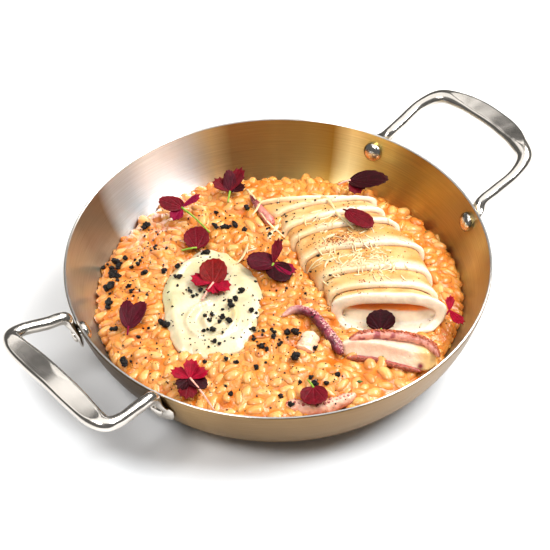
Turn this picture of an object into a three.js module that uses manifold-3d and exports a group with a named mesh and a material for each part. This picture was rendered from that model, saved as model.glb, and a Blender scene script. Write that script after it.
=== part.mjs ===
// Squid risotto served in a small two-handled steel pan.
// Millimetres, +Z up. The origin is the centre of the pan's base, on the table,
// and the two handles lie along X. The food is laid out in the diner's frame:
// "across" runs to the diner's right and "away" runs from the diner.
import * as THREE from "three";
import { mergeVertices } from "three/addons/utils/BufferGeometryUtils.js";
import Module from "manifold-3d";

const wasm = await Module();
wasm.setup();

// ---- Driving dimensions ----

const GAP = 0.3; // clearance between touching pieces
const TAU = 2 * Math.PI;
const SERVING_TURN = THREE.MathUtils.degToRad(39.35); // from the diner's right to the right handle

const pan = {
  rimRadius: 110,
  height: 44,
  baseRadius: 72,
  bellyRadius: 94, // where the base's tangent meets the belly
  shoulder: { radius: 105.5, height: 24 }, // pulls the upper wall upright
  wall: 1.5,
  facets: 48,
  steps: 5, // of the wall's section
};

const handle = {
  rodRadius: 3.45,
  gripHalfWidth: 6.5,
  gripHalfThickness: 3.8,
  gripFlat: 0.42, // share of that taken off the top
  gripTilt: THREE.MathUtils.degToRad(7), // outer edge lower than the inner one
  kneeSpread: 35.8, // each leg's distance from the handle's axis where it leaves the wall
  kneeReach: 109.3,
  footHalfWidth: 6.2,
  footHalfThickness: 1.5,
  footTip: 25.2, // height of its round end
  footSplay: THREE.MathUtils.degToRad(3),
  sides: 8,
  steps: 34, // of the whole loop
};

// The two handles were bent and set by hand. Angles in degrees, heights above the rim.
const grips = {
  right: {
    turn: 1.05,
    rivets: 20.1,
    kneeRise: -3.2,
    spread: 36.5,
    reach: 148.4,
    rise: 6.8,
    bow: 4.2,
    lift: -1.2,
    corner: 15.5,
  },
  left: {
    turn: -1.05,
    rivets: 17.8,
    kneeRise: 2,
    spread: 42,
    reach: 142,
    rise: 7,
    bow: 0.4,
    lift: 1.9,
    corner: 9,
  },
};

const rivet = {
  shankRadius: 2.4,
  headRadius: 5.2,
  headHeight: 2.8,
  tailRadius: 3.6,
  tailHeight: 1.3,
  height: 33.8, // above the table
  facets: 10,
};

const rice = { edgeHeight: 12.5, crownHeight: 22.5, reach: 98, lump: 0.9, rings: 5, facets: 36 };

const cream = { across: -34.5, away: -7, halfWidth: 25.5, halfLength: 39, rise: 2.6, depth: 2.2 };

// Where the squid presses the rice down.
const dent = { across: 58, away: -28, radius: 21, depth: 4.5 };

const mantle = {
  flesh: 4.6,
  floor: 2.6,
  lean: THREE.MathUtils.degToRad(22), // the cut faces look up towards the diner
  rest: 15,
  tail: 6, // thickness of the last slice
};

// The foot of each slice's cut face: across, away, half width, yaw in degrees, height.
const slices = [
  [56, -22.4, 29.5, -3, 20.3],
  [53, -14.7, 28.5, 0.5, 20.6],
  [50.3, -2.2, 29.5, 3.5, 20.6],
  [44.5, 15.3, 32.5, 6, 20.4],
  [36.5, 33.5, 29.5, 12, 18.6],
  [31, 43.5, 28.5, 14, 17.2],
  [27, 55.5, 27.5, 11, 15.6],
  [14, 61.5, 27, 3, 13],
];

// ---- Solids and geometries ----

function solidOf(geometry) {
  const plain = geometry.index ? geometry.toNonIndexed() : geometry;
  const bare = new THREE.BufferGeometry().setAttribute("position", plain.getAttribute("position"));
  const merged = mergeVertices(bare, 1e-3);
  return new wasm.Manifold(
    new wasm.Mesh({
      numProp: 3,
      vertProperties: merged.attributes.position.array,
      triVerts: new Uint32Array(merged.index.array),
    }),
  );
}

function geometryOf(solid) {
  const mesh = solid.getMesh();
  const points = new Float32Array(mesh.numVert * 3);
  for (let i = 0; i < mesh.numVert; i++) {
    points.set(mesh.vertProperties.subarray(i * mesh.numProp, i * mesh.numProp + 3), i * 3);
  }
  return new THREE.BufferGeometry()
    .setAttribute("position", new THREE.BufferAttribute(points, 3))
    .setIndex(new THREE.BufferAttribute(mesh.triVerts, 1));
}

const without = (solid, tools) => tools.reduce((rest, tool) => rest.subtract(tool), solid);
const together = (solids) => solids.reduce((sum, solid) => sum.add(solid));

// A closed skin through rings of points. Each end is a single point or a flat ring.
function skinned(rings) {
  const points = [];
  const triangles = [];
  const starts = rings.map((ring) => {
    points.push(...ring);
    return points.length - ring.length;
  });
  for (let k = 0; k + 1 < rings.length; k++) {
    const [a, b] = [rings[k].length, rings[k + 1].length];
    const around = Math.max(a, b);
    for (let i = 0; i < around; i++) {
      const j = (i + 1) % around;
      const [p, q] = [starts[k] + (a > 1 ? i : 0), starts[k] + (a > 1 ? j : 0)];
      const [r, s] = [starts[k + 1] + (b > 1 ? i : 0), starts[k + 1] + (b > 1 ? j : 0)];
      if (a > 1) triangles.push(p, q, r);
      if (b > 1) triangles.push(q, s, r);
    }
  }
  const flat = new Float32Array(points.flatMap((p) => [p.x, p.y, p.z]));
  return new THREE.BufferGeometry()
    .setAttribute("position", new THREE.BufferAttribute(flat, 3))
    .setIndex(triangles);
}

const lerp = THREE.MathUtils.lerp;
const at = (x, y, z) => new THREE.Vector3(x, y, z);

// The sideways and upward directions across a line that runs along a tangent.
function sectionAxes(tangent, tilt, above = at(0, 0, 1)) {
  const side = new THREE.Vector3().crossVectors(above, tangent).normalize();
  const up = new THREE.Vector3().crossVectors(tangent, side);
  return [side.applyAxisAngle(tangent, tilt), up.applyAxisAngle(tangent, tilt)];
}

function mesh(name, geometry, color, roughness = 0.5, metalness = 0) {
  const made = new THREE.Mesh(geometry, new THREE.MeshStandardMaterial({ color, roughness, metalness }));
  made.name = name;
  return made;
}

// ---- Pan ----

const outerWall = new THREE.CubicBezierCurve(
  new THREE.Vector2(pan.baseRadius, 0),
  new THREE.Vector2(pan.bellyRadius, 0),
  new THREE.Vector2(pan.shoulder.radius, pan.shoulder.height),
  new THREE.Vector2(pan.rimRadius, pan.height),
);

// A point of the wall's section, inset from the outer face. x is its radius and y its height.
function wallPoint(t, inset) {
  const along = outerWall.getTangent(t);
  const inward = new THREE.Vector2(-along.y, along.x);
  const p = outerWall.getPoint(t).addScaledVector(inward, inset);
  return new THREE.Vector2(p.x, Math.min(p.y, pan.height));
}

// Where the wall's inset section passes a height, found by halving.
function wallAt(height, inset) {
  let [low, high] = [0, 1];
  for (let i = 0; i < 30; i++) {
    const t = (low + high) / 2;
    if (wallPoint(t, inset).y < height) low = t;
    else high = t;
  }
  return low;
}

function wallSteps(count, inset) {
  return Array.from({ length: count + 1 }, (_, i) => wallPoint(i / count, inset));
}

// A profile turned round the upright axis.
function turned(profile, facets) {
  return new THREE.LatheGeometry(profile, facets).rotateX(Math.PI / 2);
}

const AXIS = (height) => new THREE.Vector2(0, height);

function panShell() {
  const outer = wallSteps(pan.steps, 0);
  const inner = wallSteps(pan.steps, pan.wall).reverse();
  return solidOf(turned([AXIS(0), ...outer, ...inner, AXIS(pan.wall)], pan.facets));
}

// The pan without its hollow, grown by the clearance, to trim the handles' feet.
function panBlock() {
  return solidOf(turned([AXIS(-1), ...wallSteps(pan.steps, -GAP), AXIS(pan.height + 1)], pan.facets));
}

// What fits inside the pan, in the food's frame.
function panHollow() {
  const wall = wallSteps(pan.steps, pan.wall + GAP);
  const top = 2 * pan.height;
  const rim = new THREE.Vector2(wall[pan.steps].x, top);
  const hollow = turned([AXIS(wall[0].y), ...wall, rim, AXIS(top)], pan.facets / 2);
  return solidOf(hollow.rotateZ(SERVING_TURN));
}

// ---- Rivets ----

// A frame on the pan's outer face. Its Y points out of the wall. The angle is from the handles' line.
function wallFrame(angle, height) {
  const t = wallAt(height, 0);
  const p = wallPoint(t, 0);
  const along = outerWall.getTangent(t);
  const outward = at(along.y * Math.cos(angle), along.y * Math.sin(angle), -along.x);
  const frame = new THREE.Matrix4().makeRotationFromQuaternion(
    new THREE.Quaternion().setFromUnitVectors(at(0, 1, 0), outward),
  );
  return frame.setPosition(p.x * Math.cos(angle), p.x * Math.sin(angle), height);
}

const degrees = THREE.MathUtils.degToRad;
const rivetFrame = (grip, side) => wallFrame(side * degrees(grip.rivets), rivet.height);

// Its axis is Y, outwards, from the wall's outer face.
function rivetGeometry() {
  const inside = -pan.wall - 2 * GAP;
  const outside = 2 * handle.footHalfThickness + 3 * GAP;
  const dome = [1, 0.93, 0.72, 0.4].map(
    (share, i) => new THREE.Vector2(rivet.headRadius * share, inside - rivet.headHeight * (i / 3.4) ** 0.7),
  );
  const profile = [
    AXIS(inside - rivet.headHeight),
    ...dome.reverse(),
    new THREE.Vector2(rivet.shankRadius, inside),
    new THREE.Vector2(rivet.shankRadius, outside),
    new THREE.Vector2(rivet.tailRadius, outside),
    new THREE.Vector2(rivet.tailRadius * 0.8, outside + rivet.tailHeight),
    AXIS(outside + rivet.tailHeight),
  ];
  return new THREE.LatheGeometry(profile, rivet.facets);
}

function rivetHole(grip, side) {
  const radius = rivet.shankRadius + GAP;
  const hole = new THREE.CylinderGeometry(radius, radius, 24, rivet.facets);
  return solidOf(hole.applyMatrix4(rivetFrame(grip, side)));
}

// A flat seat for the rivet's tail, cut into the foot.
function rivetSeat(grip, side) {
  const radius = rivet.tailRadius + GAP;
  const seat = new THREE.CylinderGeometry(radius, radius, 12, rivet.facets);
  seat.translate(0, 6 + 2 * handle.footHalfThickness + 2 * GAP, 0);
  return solidOf(seat.applyMatrix4(rivetFrame(grip, side)));
}

// ---- Handles ----

// Half of a handle's centreline, from a foot's tip to the middle of the grip. Each entry is a
// point and the section there: half width, half thickness and tilt.
function halfHandle(grip) {
  const out = handle.footHalfThickness + 1.4 * GAP;
  const foot = degrees(grip.rivets);
  const onWall = (splay, height, lift) => {
    return at(0, out + lift, 0).applyMatrix4(wallFrame(foot + splay, height));
  };
  const knee = at(handle.kneeReach, handle.kneeSpread, pan.height + grip.kneeRise);
  const bend = at(grip.reach, grip.spread, pan.height + grip.rise);
  const middle = at(grip.reach + grip.bow, 0, pan.height + grip.rise + grip.lift);
  const toKnee = knee.clone().sub(bend).normalize();
  const toMiddle = at(grip.reach + 0.4 * grip.bow, 0, middle.z).sub(bend).normalize();
  const before = bend.clone().addScaledVector(toKnee, grip.corner);
  const after = bend.clone().addScaledVector(toMiddle, grip.corner);
  const round = before.clone().add(after).multiplyScalar(0.5).lerp(bend, 0.42);
  const quarter = after.clone().lerp(middle, 0.5).addScaledVector(at(1, 0, 0), 0.22 * grip.bow);
  const { rodRadius: rod, footHalfWidth: wide, footHalfThickness: thin, gripTilt: tilt } = handle;
  const [across, through] = [handle.gripHalfWidth, handle.gripHalfThickness];
  return [
    [onWall(handle.footSplay, handle.footTip, 0), 0.5 * wide, thin, 0],
    [onWall(0.8 * handle.footSplay, handle.footTip + 2, 0), 0.88 * wide, thin, 0],
    [onWall(0, rivet.height, 0), wide, thin, 0],
    [onWall(0, 0.5 * (rivet.height + knee.z), 0.6), 0.7 * wide, 1.3 * thin, 0],
    [knee, rod, 0.95 * rod, 0],
    [knee.clone().lerp(before, 0.4), rod, rod, 0],
    [before, rod, rod, 0],
    [round, lerp(rod, across, 0.3), rod, 0.3 * tilt],
    [after, lerp(rod, across, 0.65), through, 0.75 * tilt],
    [quarter, across, through, tilt],
    [middle, across, through, tilt],
  ];
}

// The side of the rod that faces up, and that lies on the wall where the rod becomes a foot.
function topSide(grip, centre) {
  const foot = degrees(grip.rivets) * Math.sign(centre.y);
  const inward = at(-Math.cos(foot), -Math.sin(foot), 0);
  const free = THREE.MathUtils.smoothstep(centre.z, rivet.height + 2, pan.height + grip.kneeRise);
  return inward.lerp(at(0, 0, 1), free);
}

function handleLoop(grip) {
  const half = halfHandle(grip);
  const otherHalf = half.slice(0, -1).reverse();
  const stations = [...half, ...otherHalf.map(([p, ...size]) => [at(p.x, -p.y, p.z), ...size])];
  const line = new THREE.CatmullRomCurve3(stations.map(([p]) => p), false, "centripetal");
  const size = new THREE.CatmullRomCurve3(stations.map(([, wide, thick, tilt]) => at(wide, thick, tilt)));
  const rings = [];
  for (let k = 0; k <= handle.steps; k++) {
    const share = k / handle.steps;
    const centre = line.getPoint(share);
    const { x: halfWidth, y: halfThickness, z: tilt } = size.getPoint(share);
    const [side, up] = sectionAxes(line.getTangent(share), -tilt, topSide(grip, centre));
    const flattened = handle.gripFlat * THREE.MathUtils.smoothstep(tilt / handle.gripTilt, 0.45, 1);
    const top = halfThickness * (1 - flattened);
    rings.push(
      Array.from({ length: handle.sides }, (_, i) => {
        const angle = ((i + 0.5) / handle.sides) * TAU;
        return centre
          .clone()
          .addScaledVector(side, halfWidth * Math.cos(angle))
          .addScaledVector(up, Math.min(top, halfThickness * Math.sin(angle)));
      }),
    );
  }
  return solidOf(skinned([[line.getPoint(0)], ...rings, [line.getPoint(1)]]));
}

function handleSolid(grip, block) {
  const trimmer = block.rotate([0, 0, -grip.turn]);
  const cuts = [1, -1].flatMap((side) => [rivetHole(grip, side), rivetSeat(grip, side)]);
  return without(handleLoop(grip), [trimmer, ...cuts]);
}

// ---- Risotto ----

function lumps(u, v) {
  return Math.sin(u / 4.3 + 0.8) * Math.sin(v / 5.1 + 0.4) + 0.6 * Math.sin((u + v) / 7.7);
}

// The heap's height over a place on the plate, u across and v away.
function riceTop(u, v) {
  const share = Math.min(1, Math.hypot(u, v) / rice.reach);
  const angle = Math.atan2(v, u);
  const edge = rice.edgeHeight + 1.4 * Math.sin(3 * angle + 1) + 0.8 * Math.sin(7 * angle);
  const fromDent = Math.hypot(u - dent.across, v - dent.away) / dent.radius;
  const pressed = dent.depth * Math.exp(-0.5 * fromDent ** 2);
  const mound = lerp(rice.crownHeight, edge, share ** 5) - pressed * (1 - share ** 5);
  return mound + rice.lump * lumps(u, v) * (1 - share ** 8);
}

function riceSolid() {
  const angles = Array.from({ length: rice.facets }, (_, i) => (i / rice.facets) * TAU);
  const ring = (share, heightAt) =>
    angles.map((a) => {
      const reach = rice.reach * share;
      const [u, v] = [reach * Math.cos(a), reach * Math.sin(a)];
      return at(u, v, heightAt(u, v));
    });
  const above = Array.from({ length: rice.rings }, (_, k) => ring(1 - k / rice.rings, riceTop));
  return solidOf(skinned([[at(0, 0, 0)], ring(1, () => 0), ...above, [at(0, 0, riceTop(0, 0))]]));
}

// ---- Cheese cream ----

// A thick pool, egg-shaped and folded once over itself, sunk a little into the rice.
function creamSolid(grow) {
  const facets = 30;
  const levels = [1, 0.92, 0.68, 0.36];
  const bottom = rice.crownHeight - cream.depth - grow;
  const ring = (share, height) =>
    Array.from({ length: facets }, (_, i) => {
      const a = (i / facets) * TAU;
      const wobble = 1 + 0.035 * Math.sin(3 * a + 0.5) + 0.03 * Math.sin(5 * a);
      const egg = 1 - 0.14 * Math.sin(a);
      const u = cream.across + (cream.halfWidth * egg * wobble * share + grow) * Math.cos(a);
      const v = cream.away + (cream.halfLength * wobble * share + grow) * Math.sin(a);
      return at(u, v, height(a));
    });
  const dome = (share) => (a) => {
    const fold = 0.9 * Math.sin(2 * a + 9 * share) * share;
    return rice.crownHeight + cream.rise * (1 - share ** 4) + fold * (1 - share) * 2 + grow;
  };
  return solidOf(
    skinned([
      [at(cream.across, cream.away, bottom)],
      ring(0.96, () => bottom),
      ...levels.map((share) => ring(share, dome(share))),
      [at(cream.across, cream.away, rice.crownHeight + cream.rise + grow)],
    ]),
  );
}

// ---- Squid mantle, sliced across ----

// The frame of one cut face: x across the tube, y up the leaning face, z out of the face.
function cutFrame([across, away, , yaw], rest) {
  const turn = degrees(yaw);
  const level = at(-Math.sin(turn), Math.cos(turn), 0);
  const side = at(Math.cos(turn), Math.sin(turn), 0);
  const up = level.clone().multiplyScalar(Math.sin(mantle.lean)).setZ(Math.cos(mantle.lean));
  const frame = new THREE.Matrix4().makeBasis(side, up, new THREE.Vector3().crossVectors(side, up));
  return frame.setPosition(across, away, rest);
}

// A flattened tube's outline, resting on y = 0, or its bore.
function tubeOutline(halfWidth, height, wall, floor, points) {
  return Array.from({ length: points }, (_, i) => {
    const a = (i / points) * TAU;
    const [c, s] = [Math.cos(a), Math.sin(a)];
    const x = (halfWidth - wall) * Math.sign(c) * Math.abs(c) ** 0.8;
    const middle = (height - wall + floor) / 2;
    const y = middle + (height - middle - wall) * Math.sign(s) * Math.abs(s) ** 0.75;
    return new THREE.Vector2(x, y);
  });
}

function sliceSolid(number, grow) {
  const [, , halfWidth, , height] = slices[number];
  const first = number === 0;
  const last = number === slices.length - 1;
  const outline = new THREE.Shape(tubeOutline(halfWidth + grow, height + 2 * grow, 0, 0, 20));
  if (first && !grow) {
    const bore = tubeOutline(halfWidth, height, mantle.flesh, mantle.floor, 20);
    outline.holes.push(new THREE.Path(bore));
  }
  const depth = last ? mantle.tail : 30; // the next cut trims the rest
  const bar = new THREE.ExtrudeGeometry(outline, { depth: depth + 2 * grow, bevelEnabled: false })
    .translate(0, -grow, -depth - grow)
    .applyMatrix4(cutFrame(slices[number], mantle.rest));
  if (last) return solidOf(bar);
  const plane = cutFrame(slices[number + 1], mantle.rest);
  const normal = new THREE.Vector3().setFromMatrixColumn(plane, 2);
  const offset = normal.dot(new THREE.Vector3().setFromMatrixPosition(plane)) + 1.3 * GAP - grow;
  return solidOf(bar).trimByPlane(normal.toArray(), offset);
}

// ---- Squid head and arms ----

// A tapering arm along a curve, with a round section and round ends.
function armSolid({ points, thick, thin }, grow, steps = 9, sides = 6) {
  const line = new THREE.CatmullRomCurve3(points.map((p) => at(...p)));
  const rings = [];
  for (let k = 0; k <= steps; k++) {
    const share = k / steps;
    const centre = line.getPointAt(share);
    const tangent = line.getTangentAt(share);
    const [side, up] = sectionAxes(tangent, 0);
    const ends = Math.sqrt(Math.min(1, 0.25 + 6 * Math.min(share, 1 - share)));
    const radius = lerp(thick, thin, share) * ends + grow;
    rings.push(
      Array.from({ length: sides }, (_, i) => {
        const a = (i / sides) * TAU;
        return centre
          .clone()
          .addScaledVector(side, radius * Math.cos(a))
          .addScaledVector(up, radius * Math.sin(a));
      }),
    );
  }
  const first = line.getPointAt(0).addScaledVector(line.getTangentAt(0), -0.35 * thick - grow);
  const end = line.getPointAt(1).addScaledVector(line.getTangentAt(1), 0.35 * thin + grow);
  return solidOf(skinned([[first], ...rings, [end]]));
}

// Centrelines, across, away and up, and the radii at the two ends.
const arms = {
  arm_upper: {
    points: [
      [35.5, -38.2, 24.8],
      [42, -36.6, 26],
      [56.5, -37, 26.5],
      [68, -39.7, 26.5],
      [76.5, -44.5, 26],
      [80.5, -51, 24.5],
    ],
    thick: 2.8,
    thin: 2.4,
  },
  arm_lower: {
    points: [
      [34, -44.2, 18.2],
      [48, -46.2, 17.8],
      [60, -50.6, 17.6],
      [71, -54.4, 17.6],
    ],
    thick: 1.9,
    thin: 1.7,
  },
  arm_curl: {
    points: [
      [31.5, -45, 21.5],
      [27.3, -37.8, 24.5],
      [21.7, -28.3, 26],
      [15.9, -20, 26.5],
      [8.3, -17.4, 26.5],
      [1.9, -20.4, 25.3],
    ],
    thick: 3.5,
    thin: 1.9,
  },
  arm_back: {
    points: [
      [-2, 48.5, 24.5],
      [-4.8, 52.5, 24.8],
      [-8.6, 59.5, 25],
      [-12, 66.5, 24.8],
      [-13.9, 71, 24],
    ],
    thick: 2.9,
    thin: 1.1,
  },
  arm_front: {
    points: [
      [2, -77, 18.5],
      [11, -80, 19.5],
      [23, -79.5, 20],
      [32, -76.5, 21],
      [37.5, -73.5, 22],
    ],
    thick: 4.4,
    thin: 2.8,
  },
  squid_morsel: {
    points: [
      [12, -44, 22],
      [14.5, -39, 23.5],
      [16, -33, 23],
    ],
    thick: 5,
    thin: 4.6,
  },
};

// The head: a thick fold of flesh that widens to the right. Its face is hollowed between two lips.
const head = {
  lip: [
    [31, -43.6],
    [38, -43.4],
    [48.5, -45.4],
    [60, -49.8],
    [71, -53.6],
    [79, -54],
  ],
  depth: [8, 17], // from the lower lip to the back, at the left and right ends
  section: [
    [0, 18.4],
    [0.05, 16.4],
    [0.45, 15.2],
    [0.95, 16],
    [1, 21.5],
    [0.72, 24.8],
    [0.42, 25],
    [0.22, 21.6],
  ], // share of the depth, and height
  steps: 7,
};

function headSolid(grow) {
  const lip = new THREE.CatmullRomCurve3(head.lip.map(([u, v]) => at(u, v, 0)));
  const ringAt = (share) => {
    const front = lip.getPointAt(share);
    const tangent = lip.getTangentAt(share);
    const back = at(-tangent.y, tangent.x, 0).lerp(at(0, 1, 0), share).normalize();
    const depth = lerp(head.depth[0], head.depth[1], share) * (1 - 0.35 * share ** 8);
    return head.section.map(([d, z]) => {
      const [down, along] = [20 + (z - 20) * (1 + grow / 4.5), d * depth + grow * (2 * d - 1)];
      return front.clone().addScaledVector(back, along).setZ(down);
    });
  };
  const rings = Array.from({ length: head.steps + 1 }, (_, k) => ringAt(k / head.steps));
  const centre = (ring) => {
    return ring.reduce((sum, p) => sum.add(p), at(0, 0, 0)).multiplyScalar(1 / ring.length);
  };
  const first = centre(rings[0]).addScaledVector(lip.getTangentAt(0), -1.5 - grow);
  const last = centre(rings[head.steps]).addScaledVector(at(1, 0, 0), 3 + grow);
  return solidOf(skinned([[first], ...rings, [last]]));
}

// ---- Leaves ----

// Sprigs of red cress. Each has a hub, leaflets as [direction, length, width, lift] in degrees
// and millimetres, and a stem as [direction, length].
const sprigs = {
  sprig_rim_left: {
    hub: [-50, 58.2, 28.5],
    leaves: [
      [156, 14, 11, 5],
      [29, 13, 5, 20],
      [243, 11, 8, -3],
    ],
    stem: [-46, 21],
  },
  sprig_rim_back: {
    hub: [-24.5, 71.8, 26.5],
    leaves: [
      [138, 12.5, 9, 15],
      [92, 13, 7, 30],
      [60, 16, 8, 28],
      [28, 10, 8, 8],
    ],
    stem: [-100, 7],
  },
  sprig_round: {
    hub: [-42, 30, 26],
    leaves: [[92, 15.5, 13.5, 6]],
    stem: [181, 8],
  },
  sprig_cream: {
    hub: [-33.4, 1.6, 28.5],
    leaves: [
      [90, 16, 14.5, 12],
      [160, 13.5, 10, 3],
      [-32, 11, 9, -1],
      [-92, 9, 8, -2],
    ],
    stem: [-120, 12],
  },
  sprig_centre: {
    hub: [-2.3, 15.7, 27.5],
    leaves: [
      [175, 15, 14, 8],
      [74, 15, 6, 32],
      [-66, 16, 13, 2],
      [-34, 15, 9, 1],
    ],
    stem: [-108, 8],
  },
  sprig_left: {
    hub: [-77, -24.5, 24],
    leaves: [
      [94, 16, 8.5, 20],
      [57, 17, 10, 20],
    ],
    stem: [-96, 5],
  },
  sprig_front: {
    hub: [-45.3, -64.7, 27],
    leaves: [
      [84, 11.5, 8, 26],
      [154, 12, 8, 9],
      [20, 11, 8, 11],
      [224, 10, 8, -4],
      [261, 14.5, 10, -8],
      [-34, 11, 9, -5],
    ],
    stem: [-57, 22],
  },
  sprig_rim_front: {
    hub: [16.5, -72.5, 26.5],
    leaves: [[-88, 13.5, 14, 2]],
    stem: [112, 7],
  },
  sprig_mouth: {
    hub: [52, -25.6, 19.5],
    leaves: [[90, 11, 15, 42]],
    stem: [-70, 3],
  },
  sprig_top: {
    hub: [37, 45.5, 35.5],
    leaves: [[-41, 18, 11, -3]],
    stem: [140, 3],
  },
  sprig_rim_right: {
    hub: [39.5, 75.8, 29.2],
    leaves: [
      [-14, 22, 13, 12],
      [-62, 12, 10, -2],
    ],
    stem: [195, 7],
  },
  sprig_right: {
    hub: [87.3, -18, 24.5],
    leaves: [
      [84, 9.5, 5, 20],
      [-61, 14.5, 6, 4],
    ],
    stem: [-120, 3],
  },
};

// One leaflet: a thin, slightly cupped blade that widens away from the hub.
function leafletSolid([direction, length, width, lift]) {
  const facets = 8;
  const thickness = 0.5;
  const rim = Array.from({ length: facets }, (_, i) => {
    const a = (i / facets) * TAU;
    const along = (length / 2) * (1 - Math.cos(a));
    const across = (-width / 2) * Math.sin(a) * (0.75 + 0.35 * (along / length));
    return at(along - 0.8, across, (0.14 * across * across) / width);
  });
  const face = (side) => rim.map((p) => at(p.x, p.y, p.z + side * thickness));
  const middle = (side) => at(length * 0.55, 0, -0.5 + side * thickness);
  return solidOf(
    skinned([[middle(-1)], face(-1), face(1), [middle(1)]])
      .rotateY(-THREE.MathUtils.degToRad(lift))
      .rotateZ(THREE.MathUtils.degToRad(direction)),
  );
}

function stalkSolid({ stem: [direction, length] }, grow) {
  const [x, y] = [length * Math.cos(degrees(direction)), length * Math.sin(degrees(direction))];
  const line = [[0, 0, 0], [0.5 * x, 0.5 * y, -0.05 * length], [x, y, -0.2 * length]];
  return armSolid({ points: line, thick: 0.75, thin: 0.5 }, grow, 3, 5);
}

function sprigSolid(sprig) {
  const blades = sprig.leaves.map((leaf) => leafletSolid(leaf));
  return together([stalkSolid(sprig, 0), ...blades]).translate(sprig.hub);
}

// ---- The dish ----

const STEEL = [0xc9c2b6, 0.3, 1];

const dish = new THREE.Group();

const block = panBlock();
const holes = [];
for (const [end, grip] of Object.entries(grips)) {
  const turn = grip.turn + (end === "left" ? 180 : 0);
  const placed = new THREE.Matrix4().makeRotationZ(degrees(turn));
  dish.add(mesh(`handle_${end}`, geometryOf(handleSolid(grip, block)).applyMatrix4(placed), ...STEEL));
  const farSide = end === "right" ? 1 : -1;
  for (const [row, side] of [["far", farSide], ["near", -farSide]]) {
    const pin = rivetGeometry().applyMatrix4(rivetFrame(grip, side)).applyMatrix4(placed);
    dish.add(mesh(`rivet_${end}_${row}`, pin, ...STEEL));
    holes.push(rivetHole(grip, side).rotate([0, 0, turn]));
  }
}
dish.add(mesh("pan", geometryOf(without(panShell(), holes)), ...STEEL));

const plate = new THREE.Group();
plate.rotation.z = -SERVING_TURN;
dish.add(plate);

const hollow = panHollow();
const sliceNumbers = slices.map((_, number) => number);
const grownArms = Object.values(arms).map((arm) => armSolid(arm, GAP));
const grownHead = headSolid(GAP);
const sprigSolids = Object.entries(sprigs).map(([name, sprig]) => [name, sprigSolid(sprig)]);
const pressed = [
  creamSolid(GAP),
  grownHead,
  ...grownArms,
  ...sliceNumbers.map((number) => sliceSolid(number, GAP)),
  ...Object.values(sprigs).map((sprig) => stalkSolid(sprig, GAP).translate(sprig.hub)),
];

// Puts a piece of food on the plate, inside the pan and clear of the pieces that press into it.
function serve(name, solid, tools, color, roughness) {
  plate.add(mesh(name, geometryOf(without(solid.intersect(hollow), tools)), color, roughness));
}

const FLESH = [0xf3e2bd, 0.35];
const SUCKERS = [0xa8505a, 0.4];
const LEAF = [0x6d1226, 0.5];
const dents = pressed.map((piece) => piece.add(piece.translate([0, 0, 2])));
serve("risotto", riceSolid(), dents, 0xf2b26b, 0.35);
serve("cheese_cream", creamSolid(0), [], 0xf4ecc9, 0.3);
for (const number of sliceNumbers) {
  serve(`squid_slice_${number + 1}`, sliceSolid(number, 0), [...grownArms, grownHead], ...FLESH);
}
serve("squid_head", headSolid(0), grownArms, ...FLESH);
for (const [name, arm] of Object.entries(arms)) serve(name, armSolid(arm, 0), [], ...SUCKERS);
for (const [name, sprig] of sprigSolids) serve(name, sprig, [], ...LEAF);

export default dish;
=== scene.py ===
"""The looks of a squid risotto served in a two-handled steel pan.

Shapes are worked out in millimetres and laid down in metres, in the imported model's frame.
Food is placed in the diner's frame: "across" runs to the diner's right, "away" from the diner.
"""
from math import cos, hypot, pi, radians, sin, sqrt

import bpy
import numpy as np
from mathutils import Matrix, Vector, noise
from mathutils.bvhtree import BVHTree


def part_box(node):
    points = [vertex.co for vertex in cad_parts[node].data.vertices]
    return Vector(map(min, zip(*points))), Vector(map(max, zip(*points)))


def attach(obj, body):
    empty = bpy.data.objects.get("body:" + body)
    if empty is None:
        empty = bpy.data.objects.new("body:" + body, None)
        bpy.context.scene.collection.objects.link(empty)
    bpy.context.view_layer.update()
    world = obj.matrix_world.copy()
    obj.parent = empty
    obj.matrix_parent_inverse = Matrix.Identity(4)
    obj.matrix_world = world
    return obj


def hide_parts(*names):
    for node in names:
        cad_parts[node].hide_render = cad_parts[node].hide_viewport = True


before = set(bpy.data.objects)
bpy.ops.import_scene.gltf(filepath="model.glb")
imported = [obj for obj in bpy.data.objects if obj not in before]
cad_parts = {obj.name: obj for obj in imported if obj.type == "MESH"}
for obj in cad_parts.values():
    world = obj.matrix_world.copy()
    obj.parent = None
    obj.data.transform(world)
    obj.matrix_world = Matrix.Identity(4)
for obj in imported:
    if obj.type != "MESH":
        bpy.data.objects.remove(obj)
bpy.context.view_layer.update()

# ---- Driving dimensions, in millimetres ----

MM = 0.001
TAU = 2 * pi
SERVING_TURN = radians(39.35)  # from the diner's right to the right handle
rng = np.random.default_rng(11)

RIM_RADIUS, _, PAN_HEIGHT = np.array(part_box("pan")[1]) / MM
WALL = 1.5
BASE_RADIUS = 72
BELLY_RADIUS = 94
SHOULDER = (105.5, 24)
CLEARANCE = 0.3  # the gap that keeps touching steel apart

ROD_RADIUS = 3.45
GRIP = {"half_width": 6.5, "half_thickness": 3.8, "tilt": radians(7), "flat": 0.42}
KNEE = {"spread": 35.8, "reach": 109.3}
FOOT = {"half_width": 6.2, "half_thickness": 1.5, "tip": 25.2, "splay": radians(3)}
# Each handle's turn round the pan and its rivets' turn to either side, in degrees. Then its rod's
# bends: heights over the rim, spread and reach, the grip's bow and lift, and how round its corners.
GRIPS = {
    "right": dict(
        turn=1.05, rivets=20.1, knee_rise=-3.2, spread=36.5,
        reach=148.4, rise=6.8, bow=4.2, lift=-1.2, corner=15.5,
    ),
    "left": dict(
        turn=178.95, rivets=17.8, knee_rise=2, spread=42,
        reach=142, rise=7, bow=0.4, lift=1.9, corner=9,
    ),
}
RIVET = {"head": 5.2, "rise": 2.8, "tail": 3.6, "tail_rise": 1.3, "height": 33.8}

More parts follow.
